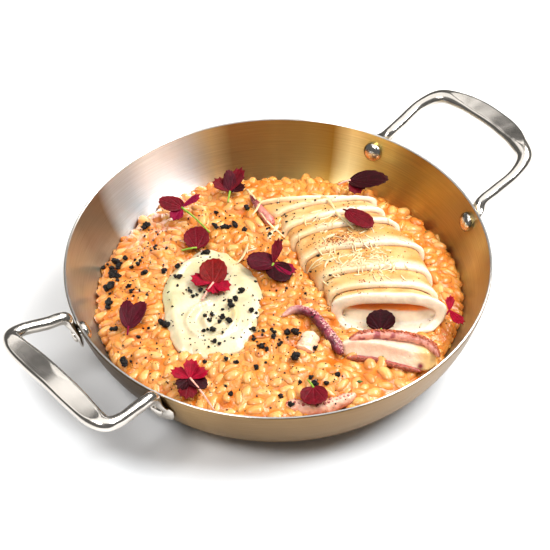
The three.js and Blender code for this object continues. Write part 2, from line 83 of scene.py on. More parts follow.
SAUCE_BLUR = 1.25
SAUCE_DROP = 0.6
RICE = {"edge": 12.5, "crown": 22.5, "reach": 98, "lump": 0.9}
GRAINS = {"number": 2250, "half": 4.45, "girth": 2.75, "packing": 0.86}
# How grains settle: the passes, their least and greatest depth under the top, the pull back there.
SETTLING = {"passes": 60, "quick_passes": 30, "highest": 1.3, "lowest": 4.2, "pull": 0.35}
# The hollows in front of the squid: lines of places, depth and half width.
SCOOPS = [
    (((30, -28), (55, -30), (84, -30)), 3.2, 6),
    (((30, -48), (50, -53), (82, -61)), 4, 7),
]
CREAM = {"across": -34.5, "away": -7, "half_width": 25.5, "half_length": 39}
DENT = {"across": 58, "away": -28, "radius": 21, "depth": 4.5}

SLICE_LEAN = radians(22)
SLICE_REST = 15  # the height that the slices rest at
FLESH = 5.6  # how thick the first slice's wall is
RIM = 2.7  # the height of cut face that shows above the slice in front
LIP = 4.2  # how far the first slice's floor runs out in front of its cut
TOASTED = [(33, 27, 9, 1), (50, 2, 8, 0.6)]  # brown spots on the skin: place, radius and strength
# The foot of each slice's cut face: across, away, half width, yaw in degrees, height.
SLICES = [
    (56, -22.4, 29.5, -3, 20.3),
    (53, -14.7, 28.5, 0.5, 20.6),
    (50.3, -2.2, 29.5, 3.5, 20.6),
    (44.5, 15.3, 32.5, 6, 20.4),
    (36.5, 33.5, 29.5, 12, 18.6),
    (31, 43.5, 28.5, 14, 17.2),
    (27, 55.5, 27.5, 11, 15.6),
    (14, 61.5, 27, 3, 13),
]


# ---- Vectors, curves and meshes ----

def xyz(x, y, z):
    """Points from their coordinates, each an array or a number."""
    return np.stack(np.broadcast_arrays(x, y, z), axis=-1)


def turned_points(points, turn):
    """Points turned round the upright axis."""
    x, y, z = np.moveaxis(np.asarray(points, dtype=float), -1, 0)
    return xyz(x * cos(turn) - y * sin(turn), x * sin(turn) + y * cos(turn), z)


def model_from_plate(points):
    """Turns points from the diner's frame into the model's."""
    return turned_points(points, -SERVING_TURN)


def mixed(a, b, share):
    return a * (1 - share) + b * share


def steps(line):
    """The distances between a line's neighbouring points."""
    return np.linalg.norm(np.diff(line[:, :3], axis=0), axis=1)


def unit(vectors):
    lengths = np.linalg.norm(vectors, axis=-1, keepdims=True)
    return vectors / np.maximum(lengths, 1e-9)


def smoothstep(low, high, x):
    t = np.clip((x - low) / (high - low), 0, 1)
    return t * t * (3 - 2 * t)


def bell(x, width):
    """1 at zero, falling off smoothly over a width."""
    return np.exp(-0.5 * (x / width) ** 2)


def smooth_line(points, count):
    """A centripetal Catmull-Rom curve through points of any dimension, evenly sampled."""
    points = np.asarray(points, dtype=float)
    padded = np.vstack([2 * points[0] - points[1], points, 2 * points[-1] - points[-2]])
    knots = np.sqrt(steps(padded))
    knots = np.concatenate([[0], np.cumsum(np.maximum(knots, 1e-3))])

    def between(t, a, b, i, j):
        span = knots[j] - knots[i]
        return (knots[j] - t) / span * a + (t - knots[i]) / span * b

    fine = []
    for i in range(1, len(padded) - 2):
        t = np.linspace(knots[i], knots[i + 1], 24, endpoint=False)[:, None]
        near = [between(t, padded[j], padded[j + 1], j, j + 1) for j in (i - 1, i, i + 1)]
        wide = [between(t, near[j], near[j + 1], i + j - 1, i + j + 1) for j in (0, 1)]
        fine.append(between(t, *wide, i, i + 1))
    fine = np.vstack(fine + [padded[-2]])
    lengths = np.concatenate([[0], np.cumsum(steps(fine))])
    wanted = np.linspace(0, lengths[-1], count)
    return np.stack([np.interp(wanted, lengths, column) for column in fine.T], axis=1)


def circle(count):
    return np.arange(count) / count * TAU


def ring_across(side, up, angles):
    """Directions round a place, or round each place of a line, at angles from its side."""
    return np.cos(angles)[:, None] * side[..., None, :] + np.sin(angles)[:, None] * up[..., None, :]


def ridge(u, v, line, width, count):
    """How near places are to a line: 1 on it, falling off over a width."""
    path = smooth_line([(*place, 0) for place in line], count)
    away = np.min([np.hypot(u - x, v - y) for x, y, _ in path], axis=0)
    return np.exp(-((away / width) ** 2))


def line_frames(line, above=(0, 0, 1)):
    """The tangent at each point of a line, and the sideways and upward directions across it."""
    tangents = unit(np.gradient(line, axis=0))
    side = unit(np.cross(above, tangents))
    return tangents, side, np.cross(tangents, side)


def bumps(points, size, seed):
    """Smooth noise between about -1 and 1 at points, with hills of the given size."""
    scaled = np.asarray(points).reshape(-1, 3) / size + seed
    values = [noise.fractal(Vector(p), 1.0, 2.0, 2) for p in scaled]
    return np.array(values).reshape(np.asarray(points).shape[:-1])


def grid_faces(rows, columns, around=True):
    """Quads over a grid of points, rows of columns. Around joins the last column to the first."""
    faces = []
    for row in range(0, (rows - 1) * columns, columns):
        for c in range(columns if around else columns - 1):
            a, b = row + c, row + (c + 1) % columns
            faces.append((a, b, b + columns, a + columns))
    return faces


def tube_mesh(rings):
    """A closed skin through rings of points, with a point added at each end."""
    rows, columns = rings.shape[:2]
    points = [*rings.reshape(-1, 3), rings[0].mean(axis=0), rings[-1].mean(axis=0)]
    faces = grid_faces(rows, columns)
    first, last = rows * columns, rows * columns + 1
    for c in range(columns):
        d = (c + 1) % columns
        faces.append((first, d, c))
        faces.append((last, (rows - 1) * columns + c, (rows - 1) * columns + d))
    return np.array(points), faces


def pool_mesh(top, bottom, narrowed=1.0):
    """A closed pool: its top, as rings from the middle out, and a flat bottom at a height."""
    under = top[-1:].copy()
    under[..., :2] *= np.reshape(narrowed, (-1, 1))
    under[..., 2] = bottom
    return tube_mesh(np.concatenate([top, under])[::-1])


def sheet_mesh(grid, thickness):
    """A closed thin sheet over a grid of points whose columns run to the right of its rows."""
    rows, columns = grid.shape[:2]
    points = np.concatenate([grid + thickness / 2, grid - thickness / 2]).reshape(-1, 3)
    half = rows * columns
    faces = [face[::-1] for face in grid_faces(rows, columns, around=False)]
    faces += [tuple(half + i for i in face[::-1]) for face in faces]
    number = np.arange(half).reshape(rows, columns)
    border = [*number[0], *number[1:, -1], *number[-1, -2::-1], *number[-2:0:-1, 0]]
    for a, b in zip(border, border[1:] + border[:1]):
        faces.append((a, b, half + b, half + a))
    return points, faces


def joined(parts):
    """One mesh from several. Each part is points, faces and a colour for each point."""
    points, faces, tints, start = [], [], [], 0
    for part_points, part_faces, part_tint in parts:
        points.append(part_points)
        faces.extend(tuple(start + i for i in face) for face in part_faces)
        tints.append(np.broadcast_to(part_tint, (len(part_points), 3)))
        start += len(part_points)
    return np.vstack(points), faces, np.vstack(tints)


def placed(name, data):
    """A new object in the scene."""
    made = bpy.data.objects.new(name, data)
    bpy.context.scene.collection.objects.link(made)
    return made


def drop_on(tree, u, v):
    """Where something dropped over a place meets a surface, or None."""
    above, down = Vector((u, v, 60)), Vector((0, 0, -1))
    return tree.ray_cast(above, down)[0]


def surface_height(trees, u, v):
    """The highest food surface over a place, or -1."""
    return max([-1.0, *(hit.z for hit in (drop_on(tree, u, v) for tree in trees) if hit)])


def make_piece(name, mesh, look, replaced=None, on_plate=True, sharp=None):
    """Lays a mesh down as a piece of the dish: points in millimetres, faces and tints."""
    points, faces, tint = mesh
    points = model_from_plate(points) if on_plate else points
    data = bpy.data.meshes.new(name)
    data.from_pydata((points * MM).tolist(), [], faces)
    data.shade_smooth()
    if sharp is not None:
        data.set_sharp_from_angle(angle=radians(sharp))
    if tint is not None:
        colours = np.ones((len(points), 4))
        colours[:, :3] = tint
        layer = data.color_attributes.new("tint", "FLOAT_COLOR", "POINT")
        layer.data.foreach_set("color", colours.ravel())
    data.materials.append(look)
    piece = placed(name, data)
    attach(piece, "root")
    if replaced:
        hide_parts(replaced)
    return piece


def colour(red, green, blue):
    """Screen colour from 0 to 255 as the linear numbers that materials use."""
    shares = np.array([red, green, blue]) / 255
    return np.where(shares <= 0.04045, shares / 12.92, ((shares + 0.055) / 1.055) ** 2.4)


def blend(a, b, share):
    return mixed(a, b, np.asarray(share)[..., None])


# ---- Materials ----

class Look:
    """A node material under construction."""

    def __init__(self, name, **sockets):
        self.material = bpy.data.materials.new(name)
        self.material.use_nodes = True
        self.tree = self.material.node_tree
        self.shader = self.tree.nodes["Principled BSDF"]
        for socket, value in sockets.items():
            self.shader.inputs[socket.replace("_", " ")].default_value = value

    def node(self, kind, inputs=(), **settings):
        made = self.tree.nodes.new("ShaderNode" + kind)
        for key, value in settings.items():
            setattr(made, key, value)
        for key, value in dict(inputs).items():
            if isinstance(value, bpy.types.NodeSocket):
                self.tree.links.new(value, made.inputs[key])
            else:
                made.inputs[key].default_value = value
        return made

    def place(self):
        return self.node("TexCoord").outputs["Object"]

    def maths(self, operation, a, b=0.0):
        return self.node("Math", {0: a, 1: b}, operation=operation).outputs[0]

    def speckle(self, size, detail=3):
        """Noise from 0 to 1 with grains of a size in metres."""
        inputs = {"Vector": self.place(), "Scale": 1 / size, "Detail": detail, "Roughness": 0.5}
        return self.node("TexNoise", inputs).outputs["Fac"]

    def step(self, value, low, high, to=(0.0, 1.0)):
        """The value's run from low to high, spread over another run and held at its ends."""
        return self.node("MapRange", dict(enumerate((value, low, high, *to)))).outputs["Result"]

    def mix(self, share, a, b, mode="MIX"):
        a, b = (x if isinstance(x, bpy.types.NodeSocket) else (*x, 1) for x in (a, b))
        return self.node("Mix", {0: share, 6: a, 7: b}, data_type="RGBA", blend_type=mode).outputs[2]

    def tint(self):
        return self.node("Attribute", attribute_name="tint").outputs["Color"]

    def shade_tint(self, size, to, detail=3):
        """Paints the tint, made darker and lighter in clouds of a size in metres."""
        shade = self.step(self.speckle(size, detail), 0.3, 0.7, to)
        tint = self.tint()
        grey = self.node("CombineColor", {0: shade, 1: shade, 2: shade}).outputs[0]
        self.link("Base Color", self.mix(1.0, tint, grey, "MULTIPLY"))

    def link(self, socket, value):
        self.tree.links.new(value, self.shader.inputs[socket])

    def mottle(self, size, a, b, low=0.3):
        """Paints two colours in clouds of a size in metres."""
        self.link("Base Color", self.mix(self.step(self.speckle(size), low, 0.7), a, b))

    def relief(self, height, depth):
        """Bump of a depth in metres."""
        bump = self.node("Bump", {"Height": height, "Distance": depth, "Strength": 1.0})
        self.link("Normal", bump.outputs["Normal"])


def brushed_steel():
    """Steel brushed round the pan's axis."""
    look = Look("brushed steel", Metallic=1.0, Roughness=0.34, Anisotropic=0.92,
                Anisotropic_Rotation=0.25)
    axes = look.node("SeparateXYZ", {0: look.place()})
    x, y, z = (axes.outputs[i] for i in range(3))
    squares = look.maths("ADD", look.maths("MULTIPLY", x, x), look.maths("MULTIPLY", y, y))
    radius = look.maths("SQRT", squares)
    turn = look.maths("ABSOLUTE", look.maths("ARCTAN2", y, x))
    strokes = look.node("CombineXYZ", {
        0: look.maths("MULTIPLY", radius, 2200.0),
        1: look.maths("MULTIPLY", z, 1600.0),
        2: look.maths("MULTIPLY", turn, 4.0),
    }).outputs[0]
    lines = look.node("TexNoise", {"Vector": strokes, "Scale": 1.0, "Detail": 4.0}).outputs["Fac"]
    clouds = look.speckle(0.03, detail=2)
    cloudy = look.mix(look.step(clouds, 0.35, 0.65), (0.9, 0.9, 0.9), (1.0, 1.0, 1.0))
    streaks = look.mix(look.step(lines, 0.3, 0.7), cloudy, (0.8, 0.79, 0.77))
    look.link("Base Color", look.mix(1.0, look.tint(), streaks, "MULTIPLY"))
    look.link("Roughness", look.step(lines, 0.2, 0.8, (0.28, 0.36)))
    look.relief(lines, 0.00005)
    tangent = look.node("Tangent", direction_type="RADIAL", axis="Z").outputs["Tangent"]
    look.link("Tangent", tangent)
    return look.material


def polished_steel():
    look = Look("polished steel", Metallic=1.0, Roughness=0.12)
    look.mottle(0.012, colour(216, 209, 200), colour(203, 196, 187))
    look.link("Roughness", look.step(look.speckle(0.004, detail=4), 0.3, 0.8, (0.15, 0.21)))
    look.relief(look.speckle(0.0009, detail=4), 0.000003)
    return look.material


def wet_food(name, grain, depth, roughness, subsurface, radius=(0.006, 0.003, 0.0015)):
    """Moist food painted by its tint, with variation and relief of its own, of a grain in metres."""
    look = Look(name, Roughness=roughness, IOR=1.4, Subsurface_Weight=subsurface,
                Subsurface_Radius=radius, Subsurface_Scale=1.0, Coat_Weight=0.35, Coat_Roughness=0.12)
    look.shade_tint(grain * 5, (0.86, 1.1))
    look.relief(look.speckle(grain, detail=4), depth)
    return look.material


def leaf_look():
    look = Look("red leaf", Roughness=0.5, IOR=1.22, Subsurface_Weight=0.12,
                Subsurface_Radius=(0.002, 0.0006, 0.0006))
    look.shade_tint(0.0022, (0.7, 1.25), detail=4)
    look.relief(look.speckle(0.0009), 0.00025)
    return look.material


def crumb_look():
    look = Look("black crumb", Roughness=0.55, IOR=1.3)
    look.mottle(0.0012, colour(14, 13, 13), colour(44, 38, 35), low=0.4)
    look.relief(look.speckle(0.0006, detail=4), 0.0004)
    return look.material


def floor_look():
    look = Look("studio floor", Roughness=0.55)
    look.mottle(0.4, (0.9, 0.9, 0.9), (0.93, 0.93, 0.93))
    look.relief(look.speckle(0.002), 0.00002)
    return look.material


# ---- Pan ----

def bezier(t):
    """The outer wall's section at t from base to rim: its points and tangents."""
    t = np.asarray(t, dtype=float)[..., None]
    a, b = np.array([BASE_RADIUS, 0.0]), np.array([BELLY_RADIUS, 0.0])
    c, d = np.array(SHOULDER, dtype=float), np.array([RIM_RADIUS, PAN_HEIGHT])
    point = (1 - t) ** 3 * a + 3 * (1 - t) ** 2 * t * b + 3 * (1 - t) * t**2 * c + t**3 * d
    slope = 3 * (1 - t) ** 2 * (b - a) + 6 * (1 - t) * t * (c - b) + 3 * t**2 * (d - c)
    return point, unit(slope)


def wall_section(count, inset, top=1.0):
    point, slope = bezier(np.linspace(0, top, count))
    return point + inset * np.stack([-slope[:, 1], slope[:, 0]], axis=1)


def wall_at(height):
    """The outer wall's radius and slope at a height."""
    t = np.linspace(0, 1, 400)
    point, slope = bezier(t)
    k = int(np.searchsorted(point[:, 1], height))
    return point[k, 0], slope[k]


def turned(profile, facets):
    """A profile of radius and height, turned round the upright axis, as a grid of points."""
    angles = circle(facets)
    radius, height = profile[:, :1], profile[:, 1:]
    return xyz(radius * np.cos(angles), radius * np.sin(angles), height)


# The steel's painted light round the pan, by the diner's angle in degrees: painted highlights where
# the brushing catches the lamps, painted reflections of the food and the floor in straw and bronze
# between them, and outside a painted shadow by the left handle's foot.
INSIDE_PAINTED_LIGHT = [
    (0, (202, 196, 148)), (8, (234, 232, 176)), (20, (176, 152, 98)), (34, (204, 168, 94)),
    (46, (218, 178, 94)), (55, (252, 226, 132)), (61, (226, 200, 116)), (67, (255, 242, 176)),
    (73, (154, 118, 50)), (90, (186, 166, 108)), (103, (174, 148, 100)), (109, (240, 228, 178)),
    (116, (244, 248, 246)), (122, (255, 255, 255)), (130, (246, 252, 255)), (137, (206, 222, 232)),
    (145, (206, 216, 220)), (150, (144, 122, 98)), (161, (160, 148, 128)), (175, (222, 222, 200)),
    (181, (236, 244, 234)), (187, (218, 236, 244)), (195, (170, 188, 196)), (214, (150, 142, 122)),
    (300, (190, 184, 160)),
]
OUTSIDE_PAINTED_LIGHT = [
    (0, (205, 196, 178)), (90, (202, 186, 158)), (180, (180, 164, 140)), (206, (88, 68, 46)),
    (236, (84, 66, 42)), (243, (178, 144, 98)), (256, (142, 113, 76)), (290, (146, 116, 80)),
    (316, (150, 125, 96)), (330, (134, 114, 94)), (344, (160, 144, 132)),
]


def tones_round(degrees, stops):
    """Colours blended round a circle of angled stops."""
    angles = [angle for angle, _ in stops]
    tones = np.array([colour(*tone) for _, tone in stops])
    return xyz(*(np.interp(degrees, angles, column, period=360) for column in tones.T))


def make_pan(look):
    """The pan's shell, with its rim rounded over."""
    rows, facets, rim_start = 60, 192, 0.985
    outer = wall_section(rows, 0, rim_start)
    inner = wall_section(rows, WALL, rim_start)[::-1]
    middle = (outer[-1] + inner[0]) / 2
    start, lift = outer[-1] - middle, np.array([0.0, PAN_HEIGHT - middle[1]])
    bead = [middle + start * cos(a) + lift * sin(a) for a in np.linspace(0, pi, 9)[1:-1]]
    base = np.array([[r, 0.0] for r in (2, 24, 48, 64)])
    floor = np.array([[r, WALL] for r in (64, 48, 24, 2)])
    rings = turned(np.vstack([base, outer, bead, inner, floor]), facets)
    points, faces = tube_mesh(rings)
    degrees = np.degrees(np.arctan2(points[:, 1], points[:, 0]) + SERVING_TURN)
    from_rim = np.arange(len(rings)) - len(base) - len(outer)  # each ring's number from the bead on
    from_rim = np.append(np.repeat(from_rim, facets), [-1, len(rings)])
    # Painted highlights, reflections and shadow on the steel, from the tables above; the bead stays
    # plain steel.
    outside, inside = tones_round(degrees, OUTSIDE_PAINTED_LIGHT), tones_round(degrees, INSIDE_PAINTED_LIGHT)
    tint = np.where(from_rim[:, None] < 3, outside, inside)
    tint[(from_rim >= 2) & (from_rim < len(bead))] = colour(236, 234, 230)
    return make_piece("steel_pan", (points, faces, tint), look, "pan", on_plate=False)


# ---- Handles and rivets ----

def wall_frame(turn, height):
    """A place on the pan's outer face, and the directions out of it, round it and up it."""
    radius, slope = wall_at(height)
    c, s = cos(turn), sin(turn)
    place = np.array([radius * c, radius * s, height])
    out = np.array([slope[1] * c, slope[1] * s, -slope[0]])
    return place, out, np.array([-s, c, 0]), np.array([slope[0] * c, slope[0] * s, slope[1]])


def on_wall(turn, height, lift):
    place, out, _, _ = wall_frame(turn, height)
    return place + out * (lift + FOOT["half_thickness"] + 1.4 * CLEARANCE)


def half_handle(grip):
    """Half of a handle's centreline with its section: half width, half thickness and tilt."""
    foot = radians(grip["rivets"])
    knee = np.array([KNEE["reach"], KNEE["spread"], PAN_HEIGHT + grip["knee_rise"]])
    bend = np.array([grip["reach"], grip["spread"], PAN_HEIGHT + grip["rise"]])
    middle = np.array([grip["reach"] + grip["bow"], 0, bend[2] + grip["lift"]])
    inner_end = np.array([grip["reach"] + 0.4 * grip["bow"], 0, middle[2]])
    before = bend + unit(knee - bend) * grip["corner"]
    after = bend + unit(inner_end - bend) * grip["corner"]
    corner = (before + after) / 2 * 0.58 + bend * 0.42
    quarter = (after + middle) / 2 + np.array([0.22 * grip["bow"], 0, 0])
    rod, wide, thin, tilt = ROD_RADIUS, FOOT["half_width"], FOOT["half_thickness"], GRIP["tilt"]
    broad, thick = GRIP["half_width"], GRIP["half_thickness"]
    return [
        (*on_wall(foot + FOOT["splay"], FOOT["tip"], 0), 0.5 * wide, thin, 0),
        (*on_wall(foot + 0.8 * FOOT["splay"], FOOT["tip"] + 2, 0), 0.88 * wide, thin, 0),
        (*on_wall(foot, RIVET["height"], 0), wide, thin, 0),
        (*on_wall(foot, (RIVET["height"] + knee[2]) / 2, 0.6), 0.7 * wide, 1.3 * thin, 0),
        (*knee, rod, 0.95 * rod, 0),
        (*(0.6 * knee + 0.4 * before), rod, rod, 0),
        (*before, rod, rod, 0),
        (*corner, 0.7 * rod + 0.3 * broad, rod, 0.3 * tilt),
        (*after, 0.35 * rod + 0.65 * broad, thick, 0.75 * tilt),
        (*quarter, broad, thick, tilt),
        (*middle, broad, thick, tilt),
    ]


def top_side(grip, line):
    """The side of the rod that faces up, and that lies on the wall where the rod becomes a foot."""
    foot = radians(grip["rivets"]) * np.sign(line[:, 1])
    inward = xyz(-np.cos(foot), -np.sin(foot), 0.0)
    free = smoothstep(RIVET["height"] + 2, PAN_HEIGHT + grip["knee_rise"], line[:, 2])
    return blend(inward, np.array([0.0, 0.0, 1.0]), free)


def make_handle(end, look):
    """A bent rod, flattened on top of its grip and hammered into a strap at each foot."""
    grip = GRIPS[end]
    half = half_handle(grip)
    other = [(s[0], -s[1], *s[2:]) for s in half[-2::-1]]
    count = 220
    stations = smooth_line(half + other, count)
    line, (wide, thick, tilt) = stations[:, :3], stations[:, 3:].T
    _, side, up = line_frames(line, top_side(grip, line))
    c, s = np.cos(-tilt)[:, None], np.sin(-tilt)[:, None]
    side, up = side * c + up * s, up * c - side * s
    angles = circle(36)
    flat = 1 - GRIP["flat"] * smoothstep(0.45, 1.0, tilt / GRIP["tilt"])[:, None]
    across = wide[:, None] * np.cos(angles)
    through = np.minimum(thick[:, None] * np.sin(angles), thick[:, None] * flat)
    from_end = np.minimum(np.arange(count), np.arange(count)[::-1])
    ends = np.sqrt(np.clip(from_end / 6, 0.02, 1))[:, None]
    rings = line[:, None] + side[:, None] * (across * ends)[..., None]
    rings += up[:, None] * (through * ends)[..., None]
    rings = rings @ np.array(Matrix.Rotation(-radians(grip["turn"]), 3, "Z"))
    piece = make_piece(f"steel_handle_{end}", (*tube_mesh(rings), None), look,
                       f"handle_{end}", on_plate=False)
    low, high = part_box(f"handle_{end}")
    # Pulls in the few points that the finer curve puts outside the box.
    for vertex in piece.data.vertices:
        vertex.co = Vector(max(a, min(b, x)) for a, b, x in zip(low, high, vertex.co))


def make_rivet(end, row, side, look):
    """A rivet: a polished dome inside the pan, and a flat tail over the handle's foot."""
    grip = GRIPS[end]
    turn = radians(grip["turn"] + side * grip["rivets"])
    place, out, around, up = wall_frame(turn, RIVET["height"])
    inside = -WALL - 2 * CLEARANCE
    outside = 2 * FOOT["half_thickness"] + 3 * CLEARANCE
    shank = 2.4
    a = np.linspace(0.06, pi / 2, 14)
    dome = np.stack([RIVET["head"] * np.sin(a), inside - RIVET["rise"] * np.cos(a) ** 0.8], axis=1)
    skirt = np.array([[RIVET["head"], inside + 0.6], [shank, inside + 0.6]])
    b = np.linspace(pi / 2, 0.06, 8)
    tail = np.stack([RIVET["tail"] * np.sin(b), outside + RIVET["tail_rise"] * np.cos(b)], axis=1)
    collar = np.array([[shank, outside - 0.45], [RIVET["tail"], outside - 0.45]])
    profile = np.vstack([dome, skirt, collar, tail])
    ring = ring_across(around, up, circle(40))
    rings = place + profile[:, :1, None] * ring + profile[:, 1:, None] * out
    return make_piece(f"steel_rivet_{end}_{row}", (*tube_mesh(rings), None), look,
                      f"rivet_{end}_{row}", on_plate=False, sharp=50)


# ---- Rice and sauce ----

def rice_top(u, v):
    """The heap's height over a place on the plate."""
    share = np.minimum(1, np.hypot(u, v) / RICE["reach"])
    angle = np.arctan2(v, u)
    edge = RICE["edge"] + 1.4 * np.sin(3 * angle + 1) + 0.8 * np.sin(7 * angle)
    dent = DENT["depth"] * bell(np.hypot(u - DENT["across"], v - DENT["away"]), DENT["radius"])
    mound = RICE["crown"] + (edge - RICE["crown"]) * share**5 - dent * (1 - share**5)
    lumps = np.sin(u / 4.3 + 0.8) * np.sin(v / 5.1 + 0.4) + 0.6 * np.sin((u + v) / 7.7)
    return mound + RICE["lump"] * lumps * (1 - share**8)


def served_top(u, v):
    """The heap as served: scooped down a little along the squid's front edges."""
    u, v = np.asarray(u, dtype=float), np.asarray(v, dtype=float)
    drop = np.zeros(u.shape)
    for line, depth, radius in SCOOPS:
        drop = np.maximum(drop, depth * ridge(u, v, line, radius, 24))
    return rice_top(u, v) - drop


def inner_radius(height):
    """The radius of the pan's hollow at a height."""
    section = wall_section(200, WALL)
    return np.interp(height, section[:, 1], section[:, 0])


def widened(field, pick, axes):
    """A field where each cell picks among itself and its neighbours, one axis after another."""
    for axis in axes:
        field = pick(field, pick(np.roll(field, 1, axis=axis), np.roll(field, -1, axis=axis)))
    return field


def grain_relief(points, toppings):
    """A map of the grains' tops, blurred as by a thick sauce, with its cell size and half width."""
    cell, half, under_heap, under_food = 0.8, 104.0, 3.2, 10.5
    count = int(2 * half / cell)
    column = ((points[:, :2] + half) / cell).astype(int).clip(0, count - 1)
    centre = (np.arange(count) + 0.5) * cell - half
    u, v = np.meshgrid(centre, centre, indexing="ij")
    tops = served_top(u, v) - under_heap
    np.maximum.at(tops, (column[:, 0], column[:, 1]), points[:, 2])
    tops = widened(tops, np.maximum, (0, 1))
    hidden = np.zeros_like(tops)
    for i, j in np.argwhere(np.hypot(u, v) < 96):
        hidden[i, j] = any(drop_on(tree, u[i, j], v[i, j]) for tree in toppings)
    hidden = widened(hidden, np.minimum, (0, 1, 0, 1))
    tops = np.where(hidden > 0, under_food, tops)
    reach = np.arange(-5, 6)
    weights = bell(reach * cell, SAUCE_BLUR)
    weights /= weights.sum()
    for axis in (0, 1):
        tops = sum(w * np.roll(tops, k, axis=axis) for w, k in zip(weights, reach))
    return tops, cell, half


def make_sauce(look, grain_points, toppings):
    """The thick sauce that the grains lie in, out to the wall."""
    tops, cell, half = grain_relief(grain_points, toppings)
    shares = 1 - (1 - np.linspace(0, 1, 151)[1:]) ** 1.1
    angles = circle(420)
    c, s = np.cos(angles), np.sin(angles)
    reach = inner_radius(rice_top(RICE["reach"] * c, RICE["reach"] * s) - 1.5) + 0.4
    u, v = shares[:, None] * reach * c, shares[:, None] * reach * s
    x, y = (u + half) / cell - 0.5, (v + half) / cell - 0.5
    i, j = (np.floor(at).astype(int).clip(0, len(tops) - 2) for at in (x, y))
    p, q = x - i, y - j
    level = tops[i, j] * (1 - p) * (1 - q) + tops[i + 1, j] * p * (1 - q)
    level += tops[i, j + 1] * (1 - p) * q + tops[i + 1, j + 1] * p * q
    top = xyz(u, v, level - SAUCE_DROP)
    top[..., 2] += 0.2 * bumps(top, 3.1, 3.1) + 0.25 * bumps(top, 17, 8.2)
    bottom = 5
    points, faces = pool_mesh(top, bottom, (inner_radius(bottom) - 1) / reach)
    orange, cream = colour(206, 106, 27), colour(230, 148, 66)
    tint = blend(orange, cream, np.clip(0.45 + 0.9 * bumps(points, 9, 5.5), 0, 1))
    return make_piece("risotto_sauce", (points, faces, tint), look, "risotto")


def grain_shape():
    """One plump grain, 1 long from its centre to its end."""
    a, b = np.linspace(0, pi, 7)[1:-1, None], circle(10)
    girth = np.sin(a) ** 0.75
    points, faces = tube_mesh(xyz(-np.cos(a), girth * np.cos(b), girth * np.sin(b)))
    points[-2:] = [[-1.02, 0, 0], [1.02, 0, 0]]
    return points, faces


def pressed(u, v):
    """How far the cream presses the grains down round its edge."""
    x, y = (u - CREAM["across"]) / CREAM["half_width"], (v - CREAM["away"]) / CREAM["half_length"]
    return 1.5 * smoothstep(1.2, 1.0, np.hypot(x, y))


def settle_grains(count, obstacles):
    """Drops grains on the plate and pushes them apart until they lie side by side on the heap."""
    radius = RICE["reach"] * np.sqrt(rng.random(count))
    angle = rng.random(count) * TAU
    place = xyz(radius * np.cos(angle), radius * np.sin(angle), 0.0)
    place[:, 2] = served_top(place[:, 0], place[:, 1]) - 3.6 + 3.4 * rng.random(count)
    turn = rng.random(count) * TAU
    axis = unit(xyz(np.cos(turn), np.sin(turn), rng.normal(0, 0.3, count)))
    near = 1 + 0.12 * smoothstep(0, -80, place[:, 1])
    half = rng.normal(GRAINS["half"], 0.5, count).clip(3.3, 5.5) * near
    girth = rng.normal(GRAINS["girth"], 0.28, count).clip(2.0, 3.4) * near
    reach = (half - girth)[:, None] * np.array([-1.0, 0.0, 1.0])
    owner, size = np.repeat(np.arange(count), 3), np.repeat(girth, 3)
    for number in range(SETTLING["passes"]):
        balls = (place[:, None] + axis[:, None] * reach[..., None]).reshape(-1, 3)
        push = np.zeros_like(balls)
        first, second = close_pairs(balls, 5.4)
        apart = owner[first] != owner[second]
        first, second = first[apart], second[apart]
        gap = balls[second] - balls[first]
        distance = np.linalg.norm(gap, axis=1)
        overlap = (GRAINS["packing"] * (size[first] + size[second]) - distance).clip(0)
        step = gap / np.maximum(distance, 1e-6)[:, None] * overlap[:, None] * 0.3
        np.add.at(push, first, -step)
        np.add.at(push, second, step)
        top = served_top(balls[:, 0], balls[:, 1]) - pressed(balls[:, 0], balls[:, 1])
        push[:, 2] += SETTLING["pull"] * (top - SETTLING["lowest"] - balls[:, 2]).clip(0)
        push[:, 2] -= SETTLING["pull"] * (balls[:, 2] - top + SETTLING["highest"]).clip(0)
        out = np.hypot(balls[:, 0], balls[:, 1])
        spill = (out - inner_radius(balls[:, 2]) + size + 0.2).clip(0)
        push[:, :2] -= balls[:, :2] / np.maximum(out, 1)[:, None] * spill[:, None] * 0.6
        if number % 4 == 3:
            push += pushed_out(balls, size, obstacles)
        moved = push.reshape(count, 3, 3)
        place += moved.mean(axis=1) * 1.5
        axis = unit(axis + (moved[:, 2] - moved[:, 0]) / (2 * half[:, None]))
        axis[:, 2] = axis[:, 2].clip(-0.55, 0.55)
        axis = unit(axis)
    return place, axis, half, girth


def pushed_out(balls, size, obstacles):
    """How far balls must move to leave the food that they press into."""
    push = np.zeros_like(balls)
    for tree in obstacles:
        for k, ball in enumerate(balls):
            near, normal, _, distance = tree.find_nearest(Vector(ball), 5.0)
            if near is None:
                continue
            away = Vector(ball) - near
            inside = away.dot(normal) < 0
            depth = size[k] * 0.8 + (distance if inside else -distance)
            if depth > 0:
                way = normal if inside or distance < 1e-4 else away / distance
                push[k] += np.array([way.x, way.y, min(0.0, way.z)]) * depth * 0.7
    return push


def close_pairs(points, reach):
    """Pairs of points nearer than reach, found on a grid of cells."""
    cells = np.floor(points / reach).astype(np.int64)
    cells -= cells.min(axis=0) - 1
    span = cells.max(axis=0) + 2
    stride = np.array([span[1] * span[2], span[2], 1])
    key = cells @ stride
    order = np.argsort(key, kind="stable")
    firsts, seconds = [], []
    for step in np.ndindex(3, 3, 3):
        wanted = key + (np.array(step) - 1) @ stride
        low, high = (np.searchsorted(key[order], wanted, end) for end in ("left", "right"))
        number = high - low
        first = np.repeat(np.arange(len(points)), number)
        offset = np.arange(number.sum()) - np.repeat(np.cumsum(number) - number, number)
        second = order[np.repeat(low, number) + offset]
        firsts.append(first[first < second])
        seconds.append(second[first < second])
    first, second = np.concatenate(firsts), np.concatenate(seconds)
    near = np.linalg.norm(points[first] - points[second], axis=1) < reach
    return first[near], second[near]


